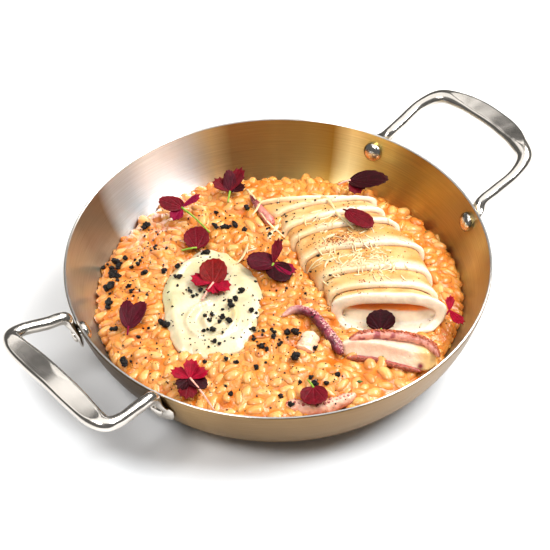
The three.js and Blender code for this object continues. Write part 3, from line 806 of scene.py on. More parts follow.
def covered(places, trees, margin, room):
    """Which places lie under the food on top by more than a margin, or too close below it."""
    around = [(margin, 0), (-margin, 0), (0, margin), (0, -margin)]

    def hides(tree, u, v, height):
        hit = drop_on(tree, u, v)
        if not hit:
            return False
        return hit.z < height + room or all(drop_on(tree, u + du, v + dv) for du, dv in around)

    return np.array([any(hides(tree, *place) for tree in trees) for place in places])


def make_rice(look, trees):
    """Cooked grains, each a little different, lying in the sauce."""
    place, axis, half, girth = settle_grains(GRAINS["number"], trees)
    seen = ~covered(place, trees, margin=4.0, room=2.0)
    for end in (-0.6, 0.6):
        seen &= ~covered(place + (end * half)[:, None] * axis, trees, margin=99.0, room=1.2)
    place, axis, half, girth = place[seen], axis[seen], half[seen], girth[seen]
    shape, faces = grain_shape()
    pale, warm, deep = colour(233, 168, 98), colour(223, 142, 66), colour(206, 114, 36)
    glaze, creamy = colour(204, 102, 22), colour(235, 175, 104)
    parts = []
    for k, (centre, way, long, wide) in enumerate(zip(place, axis, half, girth)):
        side = unit(np.cross([0, 0, 1], way))
        up = np.cross(way, side)
        x, y, z = (shape * [long, wide, wide * rng.uniform(0.86, 1.0)]).T[..., None]
        along = x / long
        y = y + rng.uniform(-0.5, 1.1) * along**2
        swell = 1 + rng.uniform(-0.16, 0.16) * along
        swell = swell + rng.uniform(-0.08, 0.08) * np.cos(4 * along + k)
        points = centre + x * way + y * swell * side + z * swell * up
        share = rng.random()
        tint = blend(pale, warm, share * 2) if share < 0.5 else blend(warm, deep, share * 2 - 1)
        front = float(smoothstep(0, -75, centre[1])) * 0.8
        tint = blend(tint, creamy, front * rng.random())
        sunk = smoothstep(0.85, 0.1, (points[:, 2] - centre[2]) / wide)
        parts.append((points, faces, blend(tint, glaze, 0.7 * sunk)))
    points, faces, tint = joined(parts)
    room = inner_radius(points[:, 2]) - 0.2
    points[:, :2] *= np.minimum(1, room / np.hypot(points[:, 0], points[:, 1]))[:, None]
    return make_piece("rice_grains", (points, faces, tint), look, "risotto")


# ---- Cheese cream ----

# Lines of places, rise and half width of the folds left where the cream was poured round.
CREAM_FOLDS = [
    (((-36, -9), (-43, -14), (-47, -23), (-43, -32), (-34, -35), (-26, -30), (-22, -19), (-25, -8)),
     1.8, 1.7),
    (((-34, -16), (-38, -22), (-35, -28), (-29, -25)), 1.3, 1.6),
    (((-40, -13), (-41, -24), (-33, -30)), -1.3, 2.4),
    (((-52, 12), (-47, 21), (-38, 25)), 1.1, 1.8),
    (((-54, -4), (-53, -18), (-50, -30)), 1.0, 2.0),
]


def make_cream(look):
    """A thick pool of cheese cream, poured round in a loop."""
    shares = np.linspace(0, 1, 60)[1:, None]
    angles = circle(180)
    wobble = 1 + 0.035 * np.sin(3 * angles + 0.5) + 0.03 * np.sin(5 * angles)
    wobble = wobble + 0.012 * np.sin(11 * angles + 1) + 0.008 * np.sin(17 * angles)
    egg = 1 - 0.14 * np.sin(angles)
    u = CREAM["across"] + shares * CREAM["half_width"] * egg * wobble * np.cos(angles)
    v = CREAM["away"] + shares * CREAM["half_length"] * wobble * np.sin(angles)
    dome = RICE["crown"] + 2.7 * (1 - shares**7) - 0.9 * (1 - shares) ** 2
    lip = bell(shares - 0.87, 0.06) * (0.5 + 0.5 * np.cos(angles - 3.6))
    fold = sum(rise * ridge(u, v, line, width, 40) for line, rise, width in CREAM_FOLDS)
    flat = xyz(u, v, 0.0)
    height = dome + fold + 0.9 * lip + 0.5 * bumps(flat, 12, 1.7) + 0.1 * bumps(flat, 3.5, 4.2)
    top = xyz(u, v, height)
    points, faces = pool_mesh(top, RICE["crown"] - 3)
    milk, butter, green = colour(214, 202, 172), colour(204, 184, 136), colour(180, 186, 142)
    tint = blend(milk, butter, np.clip(0.45 + 0.8 * bumps(points, 14, 2.2), 0, 1))
    edge = smoothstep(-48, -60, points[:, 0]) * smoothstep(-30, 0, points[:, 1])
    tint = blend(tint, green, 0.6 * edge)
    return make_piece("cream_pool", (points, faces, tint), look, "cheese_cream")


# ---- Squid mantle ----

def cut_frame(number):
    """A cut face's foot, and the directions across the tube, up the face and out of it."""
    across, away, _, yaw, _ = SLICES[number]
    c, s = cos(radians(yaw)), sin(radians(yaw))
    side, level = np.array([c, s, 0]), np.array([-s, c, 0])
    up = level * sin(SLICE_LEAN) + np.array([0, 0, cos(SLICE_LEAN)])
    return np.array([across, away, SLICE_REST]), side, up, np.cross(side, up)


def tube_outline(half_width, height, wall, floor, angles):
    """A flattened tube's outline, resting on y = 0, or its bore."""
    c, s = np.cos(angles), np.sin(angles)
    x = (half_width - wall) * np.sign(c) * np.abs(c) ** 0.8
    middle = (height - wall + floor) / 2
    return x, middle + (height - middle - wall) * np.sign(s) * np.abs(s) ** 0.75


def make_slice(number, look):
    """One slice: a white cut rim in front, and skin running back to under the next slice's rim."""
    foot, side, up, out = cut_frame(number)
    _, _, half_width, _, height = SLICES[number]
    first, last = number == 0, number == len(SLICES) - 1
    a = circle(150)
    wander = 1 + 0.012 * np.sin(3 * a + number) + 0.008 * np.sin(7 * a + 2 * number)
    outer_x, outer_y = tube_outline(half_width, height, 0, 0, a)
    bore_x, bore_y = tube_outline(half_width, height, FLESH if first else RIM + 0.5, 2.6, a)
    outer_x, outer_y = outer_x * wander, outer_y * (0.5 + 0.5 * wander)
    ahead = np.array([side[1], -side[0], 0])
    lip = (LIP if first else 0.5) * smoothstep(0.5 * height, 0, outer_y)
    lip = lip * smoothstep(1.0, 0.75, np.abs(outer_x) / half_width)
    rings, kinds = [], []

    def ring(points, kind, lip_share=0.0):
        rings.append(points + lip_share * lip[:, None] * ahead)
        kinds.append(kind)

    def face_ring(x, y, depth):
        depth = np.broadcast_to(depth, len(a))[:, None]
        return foot + x[:, None] * side + y[:, None] * up - depth * out

    floor_depth = 5.6 if first else 3.0
    tilt = smoothstep(0, height, bore_y)
    for share in (0.03, 0.3, 0.6, 0.85, 1.0):
        y = 0.42 * height + (bore_y - 0.42 * height) * share
        ring(face_ring(bore_x * share, y, floor_depth * (0.75 + 0.25 * tilt * share)), 0.0)
    for depth in (0.75, 0.5, 0.3, 0.12):
        ring(face_ring(bore_x, bore_y, floor_depth * depth + 0.4), 0.15, 1 - depth)
    for share in np.linspace(0, 1, 7):
        bulge = 0.7 * sin(pi * share) ** 0.6
        x, y = mixed(bore_x, outer_x, share), mixed(bore_y, outer_y, share)
        ring(face_ring(x, y, 0.7 - bulge), 0.5, 1)
    front = face_ring(outer_x, outer_y, 0.7)
    if last:
        x, y = tube_outline(half_width, height, 3.0, 0, a)
        back = face_ring(x, y, 6.0)
    else:
        next_foot, next_side, next_up, next_out = cut_frame(number + 1)
        _, _, next_width, _, next_height = SLICES[number + 1]
        x, y = tube_outline(next_width, next_height, RIM + 0.2 if first else RIM - 0.2, 0, a)
        back = next_foot + x[:, None] * next_side + y[:, None] * next_up - 0.2 * next_out
    crown = np.clip(np.sin(a), 0, 1)[:, None] * np.array([0, 0, 1.0])
    for share in np.linspace(0.03, 1, 18):
        swell = -0.35 * smoothstep(0, 0.2, share) * (1 - share) + 0.6 * sin(pi * share)
        ring(mixed(front, back, share) + swell * crown, 1.0 + share, 1 - share)
    middle = back.mean(axis=0)
    for share in (0.6, 0.2):
        ring(middle + (back - middle) * share, 3.0)
    kind = np.concatenate([np.repeat(np.array(kinds)[::-1], len(a)), [3.0, 0.0]])
    points, faces = tube_mesh(np.array(rings)[::-1])
    rough = 0.35 * bumps(points, 8, 2.0 * number) + 0.12 * bumps(points, 2.4, number)
    points[:, 2] += rough * (kind > 0.4)
    mesh = points, faces, slice_tint(points, kind, number, height)
    name, replaced = f"squid_ring_{number + 1}", f"squid_slice_{number + 1}"
    return make_piece(name, mesh, look, replaced)


def slice_tint(points, kind, number, height):
    """White at the cut rim, tan on the skin, orange sauce inside and low on the sides.
    Painted shade turns the rim butter on its left and the skin orange-brown at its back end.
    """
    white, pale, tan = colour(241, 224, 198), colour(226, 186, 126), colour(210, 148, 78)
    sauce, brown = colour(240, 140, 56), colour(166, 92, 34)
    browned = 0.8 if number in (2, 3, 4) else 0.5
    skin = blend(pale, tan, np.clip(browned + 0.9 * bumps(points, 11, 7.0 + number), 0, 1))
    along = np.clip(kind - 1, 0, 1)
    foot, side, up, _ = cut_frame(number)
    half_width = SLICES[number][2]
    across = (points - foot) @ side / half_width
    # Painted shade with warm bounce light: the cut rim turns butter towards each slice's left.
    left_shade = smoothstep(0.5, -0.9, across + 0.3 * bumps(points, 9, 4.0))
    band = blend(white, pale, (0.15 if number == 0 else 0.75) * left_shade)
    tint = blend(band, skin, smoothstep(0.0, 0.4, along))
    # Painted shade: the skin turns orange-brown towards its back end, in the crease where it meets
    # the next slice.
    tint = blend(tint, colour(232, 158, 86), 0.45 * smoothstep(0.78, 1.0, along) * (kind < 2.5))
    inside = smoothstep(0.3, 0.1, kind)
    rise = (points - foot) @ up / height
    wet = inside * smoothstep(0.42, 0.5, rise + 0.04 * bumps(points, 7, 3.3))
    wet *= smoothstep(0.8, 0.6, np.abs(across))
    tint = blend(tint, sauce, wet)
    low = smoothstep(25, 19, points[:, 2]) * (kind > 0.9) * (0.35 + 0.3 * bumps(points, 6, 1.1))
    tint = blend(tint, sauce, np.clip(low, 0, 1) * 0.8)
    toast = sum(strength * bell(np.hypot(points[:, 0] - u, points[:, 1] - v), radius)
                for u, v, radius, strength in TOASTED)
    grains = smoothstep(0.05, 0.45, bumps(points, 1.3, 9.0))
    return blend(tint, brown, np.clip(toast * grains, 0, 0.85) * (kind > 0.9))


# ---- Squid head and arms ----

# Each arm's centreline (across, away, up), end radii, rows of suckers by their turn round the arm,
# crest by its turn, sucker size, and colours: the shaded side and the crest, the suckers, patches
# at the arm's start and end, and a tip (where it begins and is whole, how strong, its colour).
ARMS = {
    "arm_upper": dict(
        points=[(35.5, -38.2, 24.8), (42, -36.6, 26), (56.5, -37, 26.5), (68, -39.7, 26.5),
                (76.5, -44.5, 26), (80.5, -51, 24.5)],
        radii=(2.6, 2.3), rows=(42, 64, 86), crest=40, sucker=0.78,
        colours=((232, 160, 140), (160, 66, 34)), cup=(172, 76, 32),
        patches=((140, 24, 58), (164, 70, 36)),
    ),
    "arm_lower": dict(
        points=[(34, -44.2, 18.2), (48, -46.2, 17.8), (60, -50.6, 17.6), (71, -54.4, 17.6)],
        radii=(1.7, 1.5), rows=(120, 150, 180), crest=150, sucker=0.5,
        colours=((138, 40, 58), (178, 88, 58)), cup=(150, 66, 38),
    ),
    "arm_curl": dict(
        points=[(31.5, -45, 21.5), (27.3, -37.8, 24.5), (21.7, -28.3, 26), (15.9, -20, 26.5),
                (8.3, -17.4, 26.5), (1.9, -20.4, 25.3)],
        radii=(3.4, 1.9), rows=(84, 106, 128), crest=112, sucker=0.66,
        colours=((76, 6, 28), (158, 62, 78)), cup=(226, 164, 156),
        patches=((78, 4, 30), (128, 36, 60)), tip=(0.72, 0.98, 0.8, (232, 184, 166)),
    ),
    "arm_back": dict(
        points=[(-2, 48.5, 24.5), (-4.8, 52.5, 24.8), (-8.6, 59.5, 25), (-12, 66.5, 24.8),
                (-13.9, 71, 24)],
        radii=(2.9, 1.1), rows=(20, 60), crest=60, sucker=0.6,
        colours=((196, 90, 92), (226, 140, 124)), cup=(216, 130, 120),
        tip=(0.4, 0.75, 1, (110, 14, 36)),
    ),
    "arm_front": dict(
        points=[(2, -77, 18.5), (11, -80, 19.5), (23, -79.5, 20), (32, -76.5, 21),
                (37.5, -73.5, 22)],
        radii=(4.4, 2.8), rows=(60, 95), crest=110, sucker=1.0,
        colours=((206, 120, 104), (240, 178, 150)), cup=(170, 74, 66),
    ),
    "squid_morsel": dict(
        points=[(12, -44, 22), (14.5, -39, 23.5), (16, -33, 23)],
        radii=(5, 4.6), rows=(), crest=90, sucker=0,
        colours=((242, 190, 152), (248, 208, 176)), cup=(240, 190, 160),
    ),
}


def sucker_mesh(place, out, size):
    """A little round sucker with a dimple, standing out of an arm."""
    out = unit(out)
    side = unit(np.cross(out, [0.3, 0.2, 0.9]))
    up = np.cross(out, side)
    profile = [(1.0, -0.5), (1.0, 0.25), (0.75, 0.6), (0.42, 0.5), (0.15, 0.2)]
    ring = ring_across(side, up, circle(9))
    return tube_mesh(np.array([place + size * (r * ring + h * out) for r, h in profile]))


def make_arm(name, look):
    arm = ARMS[name]
    line = smooth_line(arm["points"], 90)
    share = np.linspace(0, 1, len(line))
    ends = np.sqrt(np.clip(0.12 + 7 * np.minimum(share, 1 - share), 0, 1))
    radius = mixed(*arm["radii"], share) * ends
    tangent, side, up = line_frames(line)
    angles = circle(26)
    around = ring_across(side, up, angles)
    rings = line[:, None] + radius[:, None, None] * around
    rough = 0.16 * bumps(rings, 3.2, 1.3) + 0.07 * bumps(rings, 1.1, 6.0)
    points, faces = tube_mesh(rings + (rough * radius[:, None])[..., None] * around)
    along = np.append(np.repeat(share, len(angles)), [0, 1])
    dark, light = (colour(*c) for c in arm["colours"])
    turned_by = np.tile(angles, len(line)) - radians(arm["crest"])
    lit = np.append(0.15 + 0.95 * np.cos(turned_by), [0.2, 0.2])
    tint = blend(dark, light, np.clip(lit + 0.5 * bumps(points, 4, 2.7), 0, 1))
    if "patches" in arm:
        patchy = smoothstep(-0.05, 0.3, bumps(points, 3.4, 8.8))
        start, end = (colour(*tone) for tone in arm["patches"])
        tint = blend(tint, blend(start, end, smoothstep(0.35, 0.75, along)), 0.75 * patchy)
    if "tip" in arm:
        low, high, amount, tone = arm["tip"]
        tint = blend(tint, colour(*tone), amount * smoothstep(low, high, along))
    parts = [(points, faces, tint)]
    length = steps(line).sum()
    for row, degrees in enumerate(arm["rows"]):
        pitch = arm["sucker"] * 2.1
        for k in range(int(length / pitch)):
            reach = (k + 0.5 + 0.5 * (row % 2)) * pitch / length
            at = min(len(line) - 2, int(reach * (len(line) - 1)))
            angle = radians(degrees + rng.normal(0, 6))
            out = cos(angle) * side[at] + sin(angle) * up[at]
            size = arm["sucker"] * rng.uniform(0.6, 1.2) * radius[at] / max(arm["radii"])
            sucker = sucker_mesh(line[at] + out * radius[at] * 0.98, out + 0.2 * tangent[at], size)
            parts.append((*sucker, colour(*arm["cup"]) * rng.uniform(0.7, 1.2)))
    return make_piece(f"{name}_skin", joined(parts), look, name)


# The line of the head's lip (across, away), how far it reaches back from there at its ends, and
# its section as shares of that reach, with heights.
HEAD = {
    "lip": [(31, -43.6), (38, -43.4), (48.5, -45.4), (60, -49.8), (71, -53.6), (79, -54)],
    "depth": (8, 17),
    "section": [(0, 18.4), (0.05, 16.4), (0.45, 15.2), (0.95, 16), (1, 21.5), (0.72, 24.8),
                (0.42, 25), (0.22, 21.6)],
}


def make_head(look):
    """The head's fold of flesh, hollowed between its lips and widening to the right."""
    lip = smooth_line([(u, v, 0) for u, v in HEAD["lip"]], 90)
    tangent = unit(np.gradient(lip, axis=0))
    loop = np.array([(d, z, 0.0) for d, z in HEAD["section"]])
    sides, even = 72, 12  # even: makes a share of the reach count like a millimetre of height
    loop[:, 0] *= even
    fine = smooth_line(np.vstack([loop, loop[:1]]), sides + 1)[:-1]
    fine[:, 0] /= even
    rings = []
    for k, share in enumerate(np.linspace(0, 1, len(lip))):
        back = np.array([-tangent[k, 1], tangent[k, 0], 0]) * (1 - share) + np.array([0, share, 0])
        depth = mixed(*HEAD["depth"], share) * (1 - 0.35 * share**8)
        ends = sqrt(min(1, 0.2 + 9 * min(share, 1 - share)))
        middle = np.array([0.5 * depth, 20.0])
        d = middle[0] + (fine[:, 0] * depth - middle[0]) * ends
        z = middle[1] + (fine[:, 1] - middle[1]) * ends
        rings.append(lip[k] + d[:, None] * unit(back) + z[:, None] * np.array([0, 0, 1]))
    points, faces = tube_mesh(np.array(rings))
    points[:, 2] += 0.35 * bumps(points, 6, 3.0) + 0.1 * bumps(points, 1.8, 5.0)
    flesh, pink, butter = colour(244, 214, 184), colour(236, 184, 160), colour(236, 190, 126)
    tint = blend(flesh, pink, np.clip(0.22 + 0.5 * bumps(points, 9, 1.0), 0, 1))
    share = np.concatenate([np.repeat(np.linspace(0, 1, len(lip)), sides), [0, 1]])
    tint = blend(tint, butter, smoothstep(0.72, 0.92, share))
    edge = smoothstep(18.2, 16.6, points[:, 2]) * 0.6
    tint = blend(tint, colour(196, 104, 66), edge)
    spot = bell(np.linalg.norm(points - [71, -52.5, 19.5], axis=1), 1.1)
    tint = blend(tint, colour(120, 20, 34), np.clip(spot * 1.3, 0, 1))
    return make_piece("squid_head_fold", (points, faces, tint), look, "squid_head")


# ---- Leaves ----

CRIMSON, MAGENTA, WINE = colour(136, 0, 30), colour(116, 0, 40), colour(92, 3, 16)
PLUM, NIGHT, RUST = colour(68, 3, 18), colour(42, 3, 8), colour(106, 12, 8)
GREEN_STEM, PINK_STEM = colour(136, 170, 60), colour(236, 170, 150)

# Each sprig's hub, its stem as (direction, length, colour), and its leaflets as (direction, length,
# width, lift, form, colour).
SPRIGS = {
    "rim_left": ((-50, 58.2, 28.5), (-46, 21, GREEN_STEM), [
        (156, 14, 11, 5, "round", WINE), (29, 13, 5, 20, "fan", MAGENTA),
        (243, 11, 8, -3, "fan", MAGENTA)]),
    "rim_back": ((-24.5, 71.8, 26.5), (-100, 7, GREEN_STEM), [
        (138, 12.5, 9, 15, "fan", WINE), (92, 13, 7, 30, "round", PLUM),
        (60, 16, 8, 28, "fan", WINE), (28, 10, 8, 8, "fan", NIGHT)]),
    "round": ((-42, 30, 26), (181, 8, GREEN_STEM), [(92, 15.5, 13.5, 6, "round", WINE)]),
    "cream": ((-33.4, 1.6, 28.5), (-120, 12, PINK_STEM), [
        (90, 16, 14.5, 12, "round", RUST), (160, 13.5, 10, 3, "fan", CRIMSON),
        (-32, 11, 9, -1, "fan", CRIMSON), (-92, 9, 8, -2, "fan", CRIMSON)]),
    "centre": ((-2.3, 15.7, 27.5), (-108, 8, GREEN_STEM), [
        (175, 15, 14, 8, "round", PLUM), (74, 15, 6, 32, "fan", WINE),
        (-66, 16, 13, 2, "round", NIGHT), (-34, 15, 9, 1, "fan", MAGENTA)]),
    "left": ((-77, -24.5, 24), (-96, 5, MAGENTA), [
        (94, 16, 8.5, 20, "round", PLUM), (57, 17, 9, 20, "round", PLUM)]),
    "front": ((-45.3, -64.7, 27), (-57, 22, PINK_STEM), [
        (84, 11.5, 8, 26, "fan", CRIMSON), (154, 12, 8, 9, "fan", CRIMSON),
        (20, 11, 8, 11, "fan", CRIMSON), (224, 10, 8, -4, "fan", NIGHT),
        (261, 14.5, 10, -8, "fan", WINE), (-34, 11, 9, -5, "round", NIGHT)]),
    "rim_front": ((16.5, -72.5, 26.5), (112, 7, GREEN_STEM), [(-88, 13.5, 14, 2, "round", WINE)]),
    "mouth": ((52, -25.6, 19.5), (-70, 3, GREEN_STEM), [(90, 11, 15, 42, "round", NIGHT)]),
    "top": ((37, 45.5, 35.5), (140, 3, WINE), [(-41, 18, 11, -3, "round", WINE)]),
    "rim_right": ((39.5, 75.8, 29.2), (195, 7, PINK_STEM), [
        (-14, 22, 13, 12, "round", NIGHT), (-62, 12, 10, -2, "fan", WINE)]),
    "right": ((87.3, -18, 24.5), (-120, 3, CRIMSON), [
        (84, 9.5, 5, 20, "fan", CRIMSON), (-61, 14.5, 6, 4, "fan", CRIMSON)]),
}


def leaf_outline(turn, form):
    """How far a leaf's edge is from its base, as a share of its length, at a turn off its midrib."""
    if form == "round":
        reach = np.cos(turn) ** 0.75
        teeth = 0.035 * np.abs(np.sin(13 * turn))
    else:
        reach = 1 - 0.14 * np.abs(turn) ** 1.5 - 0.35 * smoothstep(0.66, 0.8, np.abs(turn))
        teeth = 0.1 * np.abs(np.sin(8.5 * turn)) ** 0.8
    return reach * (1 - teeth)


def leaf_mesh(direction, length, width, lift, form, tone):
    """A thin veined blade with a toothed edge, cupped along its midrib."""
    spread = 1.5 if form == "round" else 0.8
    turns = np.linspace(-spread, spread, 105)
    shares = np.linspace(0.03, 1, 13)[:, None]
    reach = leaf_outline(turns, form)
    x = shares * reach * np.cos(turns)
    y = shares * reach * np.sin(turns)
    x = x / x.max() * length - 0.8
    y = y / y.max() * width / 2
    veins = np.min([np.abs(np.sin(turns - a)) for a in (-0.95, -0.5, 0, 0.5, 0.95)], axis=0)
    vein = np.exp(-((veins * shares * length / 0.42) ** 2)) * (1 - 0.6 * shares)
    curl = 0.14 * y * y / width + 0.5 * np.sin(2.2 * x / width + lift) * np.abs(y) / width
    ripple = 0.45 * np.sin(5 * turns + length) * shares**3
    z = curl + ripple - 0.25 * vein
    points, faces = sheet_mesh(xyz(x, y, z), np.array([0, 0, 0.3]))
    lifted = np.array(Matrix.Rotation(-radians(lift), 3, "Y")).T
    turned_to = np.array(Matrix.Rotation(radians(direction), 3, "Z")).T
    vein = np.tile(vein.ravel(), 2)
    outer = np.tile((shares + 0 * turns).ravel(), 2)
    tint = blend(tone, tone * 1.5 + [0.012, 0, 0.004], 0.8 * vein)
    tint = blend(tint, tone * [1.5, 0.6, 1.2], 0.45 * smoothstep(0.75, 1, outer))
    return points @ lifted @ turned_to, faces, tint


def make_sprig(name, look):
    hub, (direction, length, stem_tone), leaves = SPRIGS[name]
    parts = []
    for leaf in leaves:
        points, faces, tint = leaf_mesh(*leaf)
        parts.append((points + hub, faces, tint))
    run = length * np.array([cos(radians(direction)), sin(radians(direction))])
    line = smooth_line([(0, 0, 0), (*(0.5 * run), -0.05 * length), (*run, -0.2 * length)], 14) + hub
    _, side, up = line_frames(line)
    radius = np.linspace(0.6, 0.45, len(line))[:, None, None]
    parts.append((*tube_mesh(line[:, None] + radius * ring_across(side, up, circle(8))), stem_tone))
    return make_piece(f"sprig_{name}_leaves", joined(parts), look, f"sprig_{name}")


# ---- Crumbs, flecks and cheese shreds ----

CRUMBS = 760
# Where crumbs lie together: across, away, spread, number, largest size.
CRUMB_HEAPS = [
    (-84.5, 27, 2.6, 9, 3.6), (-86, 18, 2.4, 7, 3.8), (-87, 8, 1.5, 4, 4), (-87.5, -3, 2, 4, 3.4),
    (-69, 54, 1.2, 3, 3.4), (-51, 62, 1.5, 3, 3), (-84, -23, 1.5, 2, 2.8), (-79, -46, 2, 3, 3.6),
    (-58, -23, 2, 3, 4), (-52, 18, 1, 1, 3), (-51, 9, 1.5, 2, 2.4), (-37, 27, 2.5, 3, 3.2),
    (-64, 31, 5, 8, 1.6), (-69, 15, 1.5, 2, 2.6), (-59, 15, 1, 1, 2.8), (-73, 21, 2.5, 3, 2.2),
    (-45, -2, 2.5, 5, 1.6), (-19, -2, 1, 2, 2.8), (-40, -1, 3, 4, 2.2), (-25, -11, 2.5, 6, 3),
    (-29, -21, 3, 6, 2.8), (-34, -29, 3, 5, 2.8), (-33, -38, 2, 3, 2.4), (-38, -20, 2, 4, 1.9),
    (-14, -16, 1.5, 2, 2.6), (-13, -28, 1.5, 3, 2.4), (-13, -36, 2.5, 4, 2),
    (-27, -51, 1.5, 2, 2.2),
    (-22, -54, 1.5, 2, 2.4), (-12, -56, 1.5, 2, 2.4), (-25, -74, 1, 1, 2.4), (-38, -53, 1, 1, 2.2),
    (-32, 46, 1.5, 3, 2.4), (-27, 46, 1.5, 3, 2.6), (-22, 48, 2, 4, 2.6), (-17, 44, 1.5, 1, 2.6),
    (-16, 62, 1, 1, 2.8), (-32, 58, 1.5, 1, 2.2), (-4, 40, 3, 5, 1.8), (-3, -36, 3, 6, 2.6),
    (4, -33, 1.5, 2, 3.2), (9, -35, 1.5, 3, 3.6), (8, -51, 1.5, 3, 4.2), (-9, -43, 2, 3, 2.8),
    (0, -41, 2, 3, 2), (18, -43, 1, 1, 2.4), (17, -67, 2, 4, 2.8), (10, -66, 2, 2, 1.8),
    (23, -67, 1, 1, 2.4), (29, -62, 1, 1, 2.4), (5, -81, 1, 1, 2.8), (0, -75, 1, 1, 2.4),
    (-72, -30, 6, 6, 1.8), (-76, 2, 6, 7, 2.2),
]


def crumb_mesh(place, size, seed):
    """A small rough lump."""
    a, b = np.linspace(0.25, pi - 0.25, 5)[:, None], circle(7)
    ball = xyz(np.sin(a) * np.cos(b), np.sin(a) * np.sin(b), -np.cos(a))
    rough = 1 + 0.42 * bumps(ball, 0.8, seed)
    stretch = 1 + 0.35 * np.sin(seed * np.array([1.0, 2.3, 3.7]))
    return tube_mesh(place + ball * rough[..., None] * stretch * size / 2)


def crumb_lumps(place, size, seed):
    """A crumb: one small lump, or for a big one a knot of them."""
    if size < 1.6:
        return [crumb_mesh(place, size, seed)]
    lumps = [crumb_mesh(place, 0.66 * size, seed)]
    for k, turn in enumerate(np.arange(6) * 2.4 + seed):
        tilt = (0.1, 0.5, 0.9)[k % 3]
        step = np.array([cos(turn) * cos(tilt), sin(turn) * cos(tilt), sin(tilt)])
        lumps.append(crumb_mesh(place + 0.3 * size * step, size * rng.uniform(0.3, 0.5), seed + k))
    return lumps


def make_crumbs(look, trees):
    """Black crumbs, in loose heaps and strewn singly."""
    places = []
    for across, away, spread, number, largest in CRUMB_HEAPS:
        for k in range(number):
            size = 1.3 * largest * (1 if k == 0 else rng.uniform(0.35, 0.9))
            shift = rng.normal(0, spread, 2) if k else (0, 0)
            places.append((across + shift[0], away + shift[1], size))
    while len(places) < CRUMBS:
        u, v = rng.uniform(-92, 34), rng.uniform(-84, 66)
        if hypot(u, v) < 90 and rng.random() < 0.85:
            places.append((u, v, rng.choice([0.5, 0.7, 0.9, 1.3], p=[0.35, 0.35, 0.2, 0.1])))
    parts = []
    for k, (u, v, size) in enumerate(places):
        height = surface_height(trees, u, v)
        if height < 0:
            continue
        lumps = crumb_lumps(np.array([u, v, height + 0.26 * size]), size, 1.7 * k)
        parts.extend((*lump, 0) for lump in lumps)
    points, faces, _ = joined(parts)
    make_piece("black_crumbs", (points, faces, None), look)


# Long cheese shreds: start and end, across and away, and width.
LONG_SHREDS = [
    ((19, 74), (31, 50), 1.6), ((30, 52), (40, 36), 1.3), ((26, 61), (41, 66), 1.2),
    ((-16, 79), (-11, 65), 1.1), ((-9, 56), (4, 38), 1.0), ((1, 48), (-5, 37), 2.2),
    ((-8, 64), (-13, 54), 1.3), ((-15, 31), (-22, 19), 1.4),
]
# Where short shreds lie: across, away, spread across, spread away, number.
SHRED_BEDS = [
    (45, 8, 11, 7, 90), (37, 22, 10, 8, 50), (24, 45, 13, 8, 26), (58, -20, 9, 3, 5),
    (4, 20, 18, 22, 10),
]


def shred_mesh(start, end, width, trees):
    """A flat curved strip of cheese lying over what is under it."""
    count = 9
    line = np.linspace(start, end, count)
    run = end - start
    bow = np.sin(np.linspace(0, pi, count)) * rng.uniform(-0.08, 0.08) * np.linalg.norm(run)
    across = unit(np.array([-run[1], run[0]]))
    line = line + bow[:, None] * across
    heights = np.array([surface_height(trees, u, v) for u, v in line])
    if heights.min() < 0:
        return None
    for _ in range(6):
        heights[1:-1] = np.maximum(heights[1:-1], (heights[:-2] + heights[2:]) / 2)
    line = np.column_stack([line, heights + 0.22])
    half = width / 2 * (1 - 0.6 * np.abs(np.linspace(-1, 1, count)) ** 3)
    twist = rng.uniform(-0.5, 0.5)
    side = np.array([*across * cos(twist), sin(twist)])
    grid = line[:, None] + half[:, None, None] * np.array([-1.0, 0.0, 1.0])[:, None] * side
    return sheet_mesh(grid, np.array([0, 0, 0.2]))


def make_shreds(look, trees):
    """Fine shreds of hard cheese over the squid."""
    pale, deep = colour(244, 222, 170), colour(236, 206, 142)
    strips = [(np.array(a, float), np.array(b, float), w) for a, b, w in LONG_SHREDS]
    for across, away, spread_u, spread_v, number in SHRED_BEDS:
        for _ in range(number):
            middle = np.array([rng.normal(across, spread_u), rng.normal(away, spread_v)])
            angle, length = rng.uniform(0, pi), rng.uniform(2, 7)
            step = np.array([cos(angle), sin(angle)]) * length / 2
            strips.append((middle - step, middle + step, rng.uniform(0.45, 1.0)))
    parts = []
    for start, end, width in strips:
        if max(np.hypot(*start), np.hypot(*end)) > 93:
            continue
        made = shred_mesh(start, end, width, trees)
        if made is not None:
            parts.append((*made, blend(pale, deep, rng.random())))
    make_piece("cheese_shreds", joined(parts), look)


def make_flecks(look, trees):
    """Ground spice and herb: fine flecks, densest where the squid is toasted."""
    tones = [colour(138, 76, 30), colour(176, 60, 24), colour(46, 30, 22), colour(70, 110, 30)]
    toasted, over_squid, over_all = 170, 270, 320
    parts = []
    for k in range(toasted + over_squid + over_all):
        if k < toasted:
            u, v = rng.normal(33, 6.5), rng.normal(28, 3.5)
        elif k < toasted + over_squid:
            u, v = rng.normal(40, 14), rng.normal(15, 20)
        else:
            u, v = rng.uniform(-90, 90), rng.uniform(-90, 80)
        if hypot(u, v) > 92:
            continue
        height = surface_height(trees, u, v)
        if height < 0:
            continue
        size = rng.uniform(0.3, 0.75)
        shares = [0.72, 0.28, 0, 0] if k < toasted else [0.36, 0.24, 0.26, 0.14]
        tone = tones[rng.choice(len(tones), p=shares)]
        parts.append((*crumb_mesh(np.array([u, v, height + 0.15 * size]), size, 3.1 * k), tone))
    herb = np.array([40, -65, surface_height(trees, 40, -65) + 0.8])  # one larger green piece
    points, faces = crumb_mesh(np.zeros(3), 2.0, 5.0)
    parts.append((points * [2.4, 1.1, 0.8] + herb, faces, colour(60, 104, 36)))
    make_piece("spice_flecks", joined(parts), look)


# ---- Studio ----

def plate_place(across, away, up):
    return Vector(model_from_plate([across, away, up]) * MM)


def facing(place, target):
    """The turn that points a camera or a light from a place at a target."""
    return (target - place).to_track_quat("-Z", "Y")


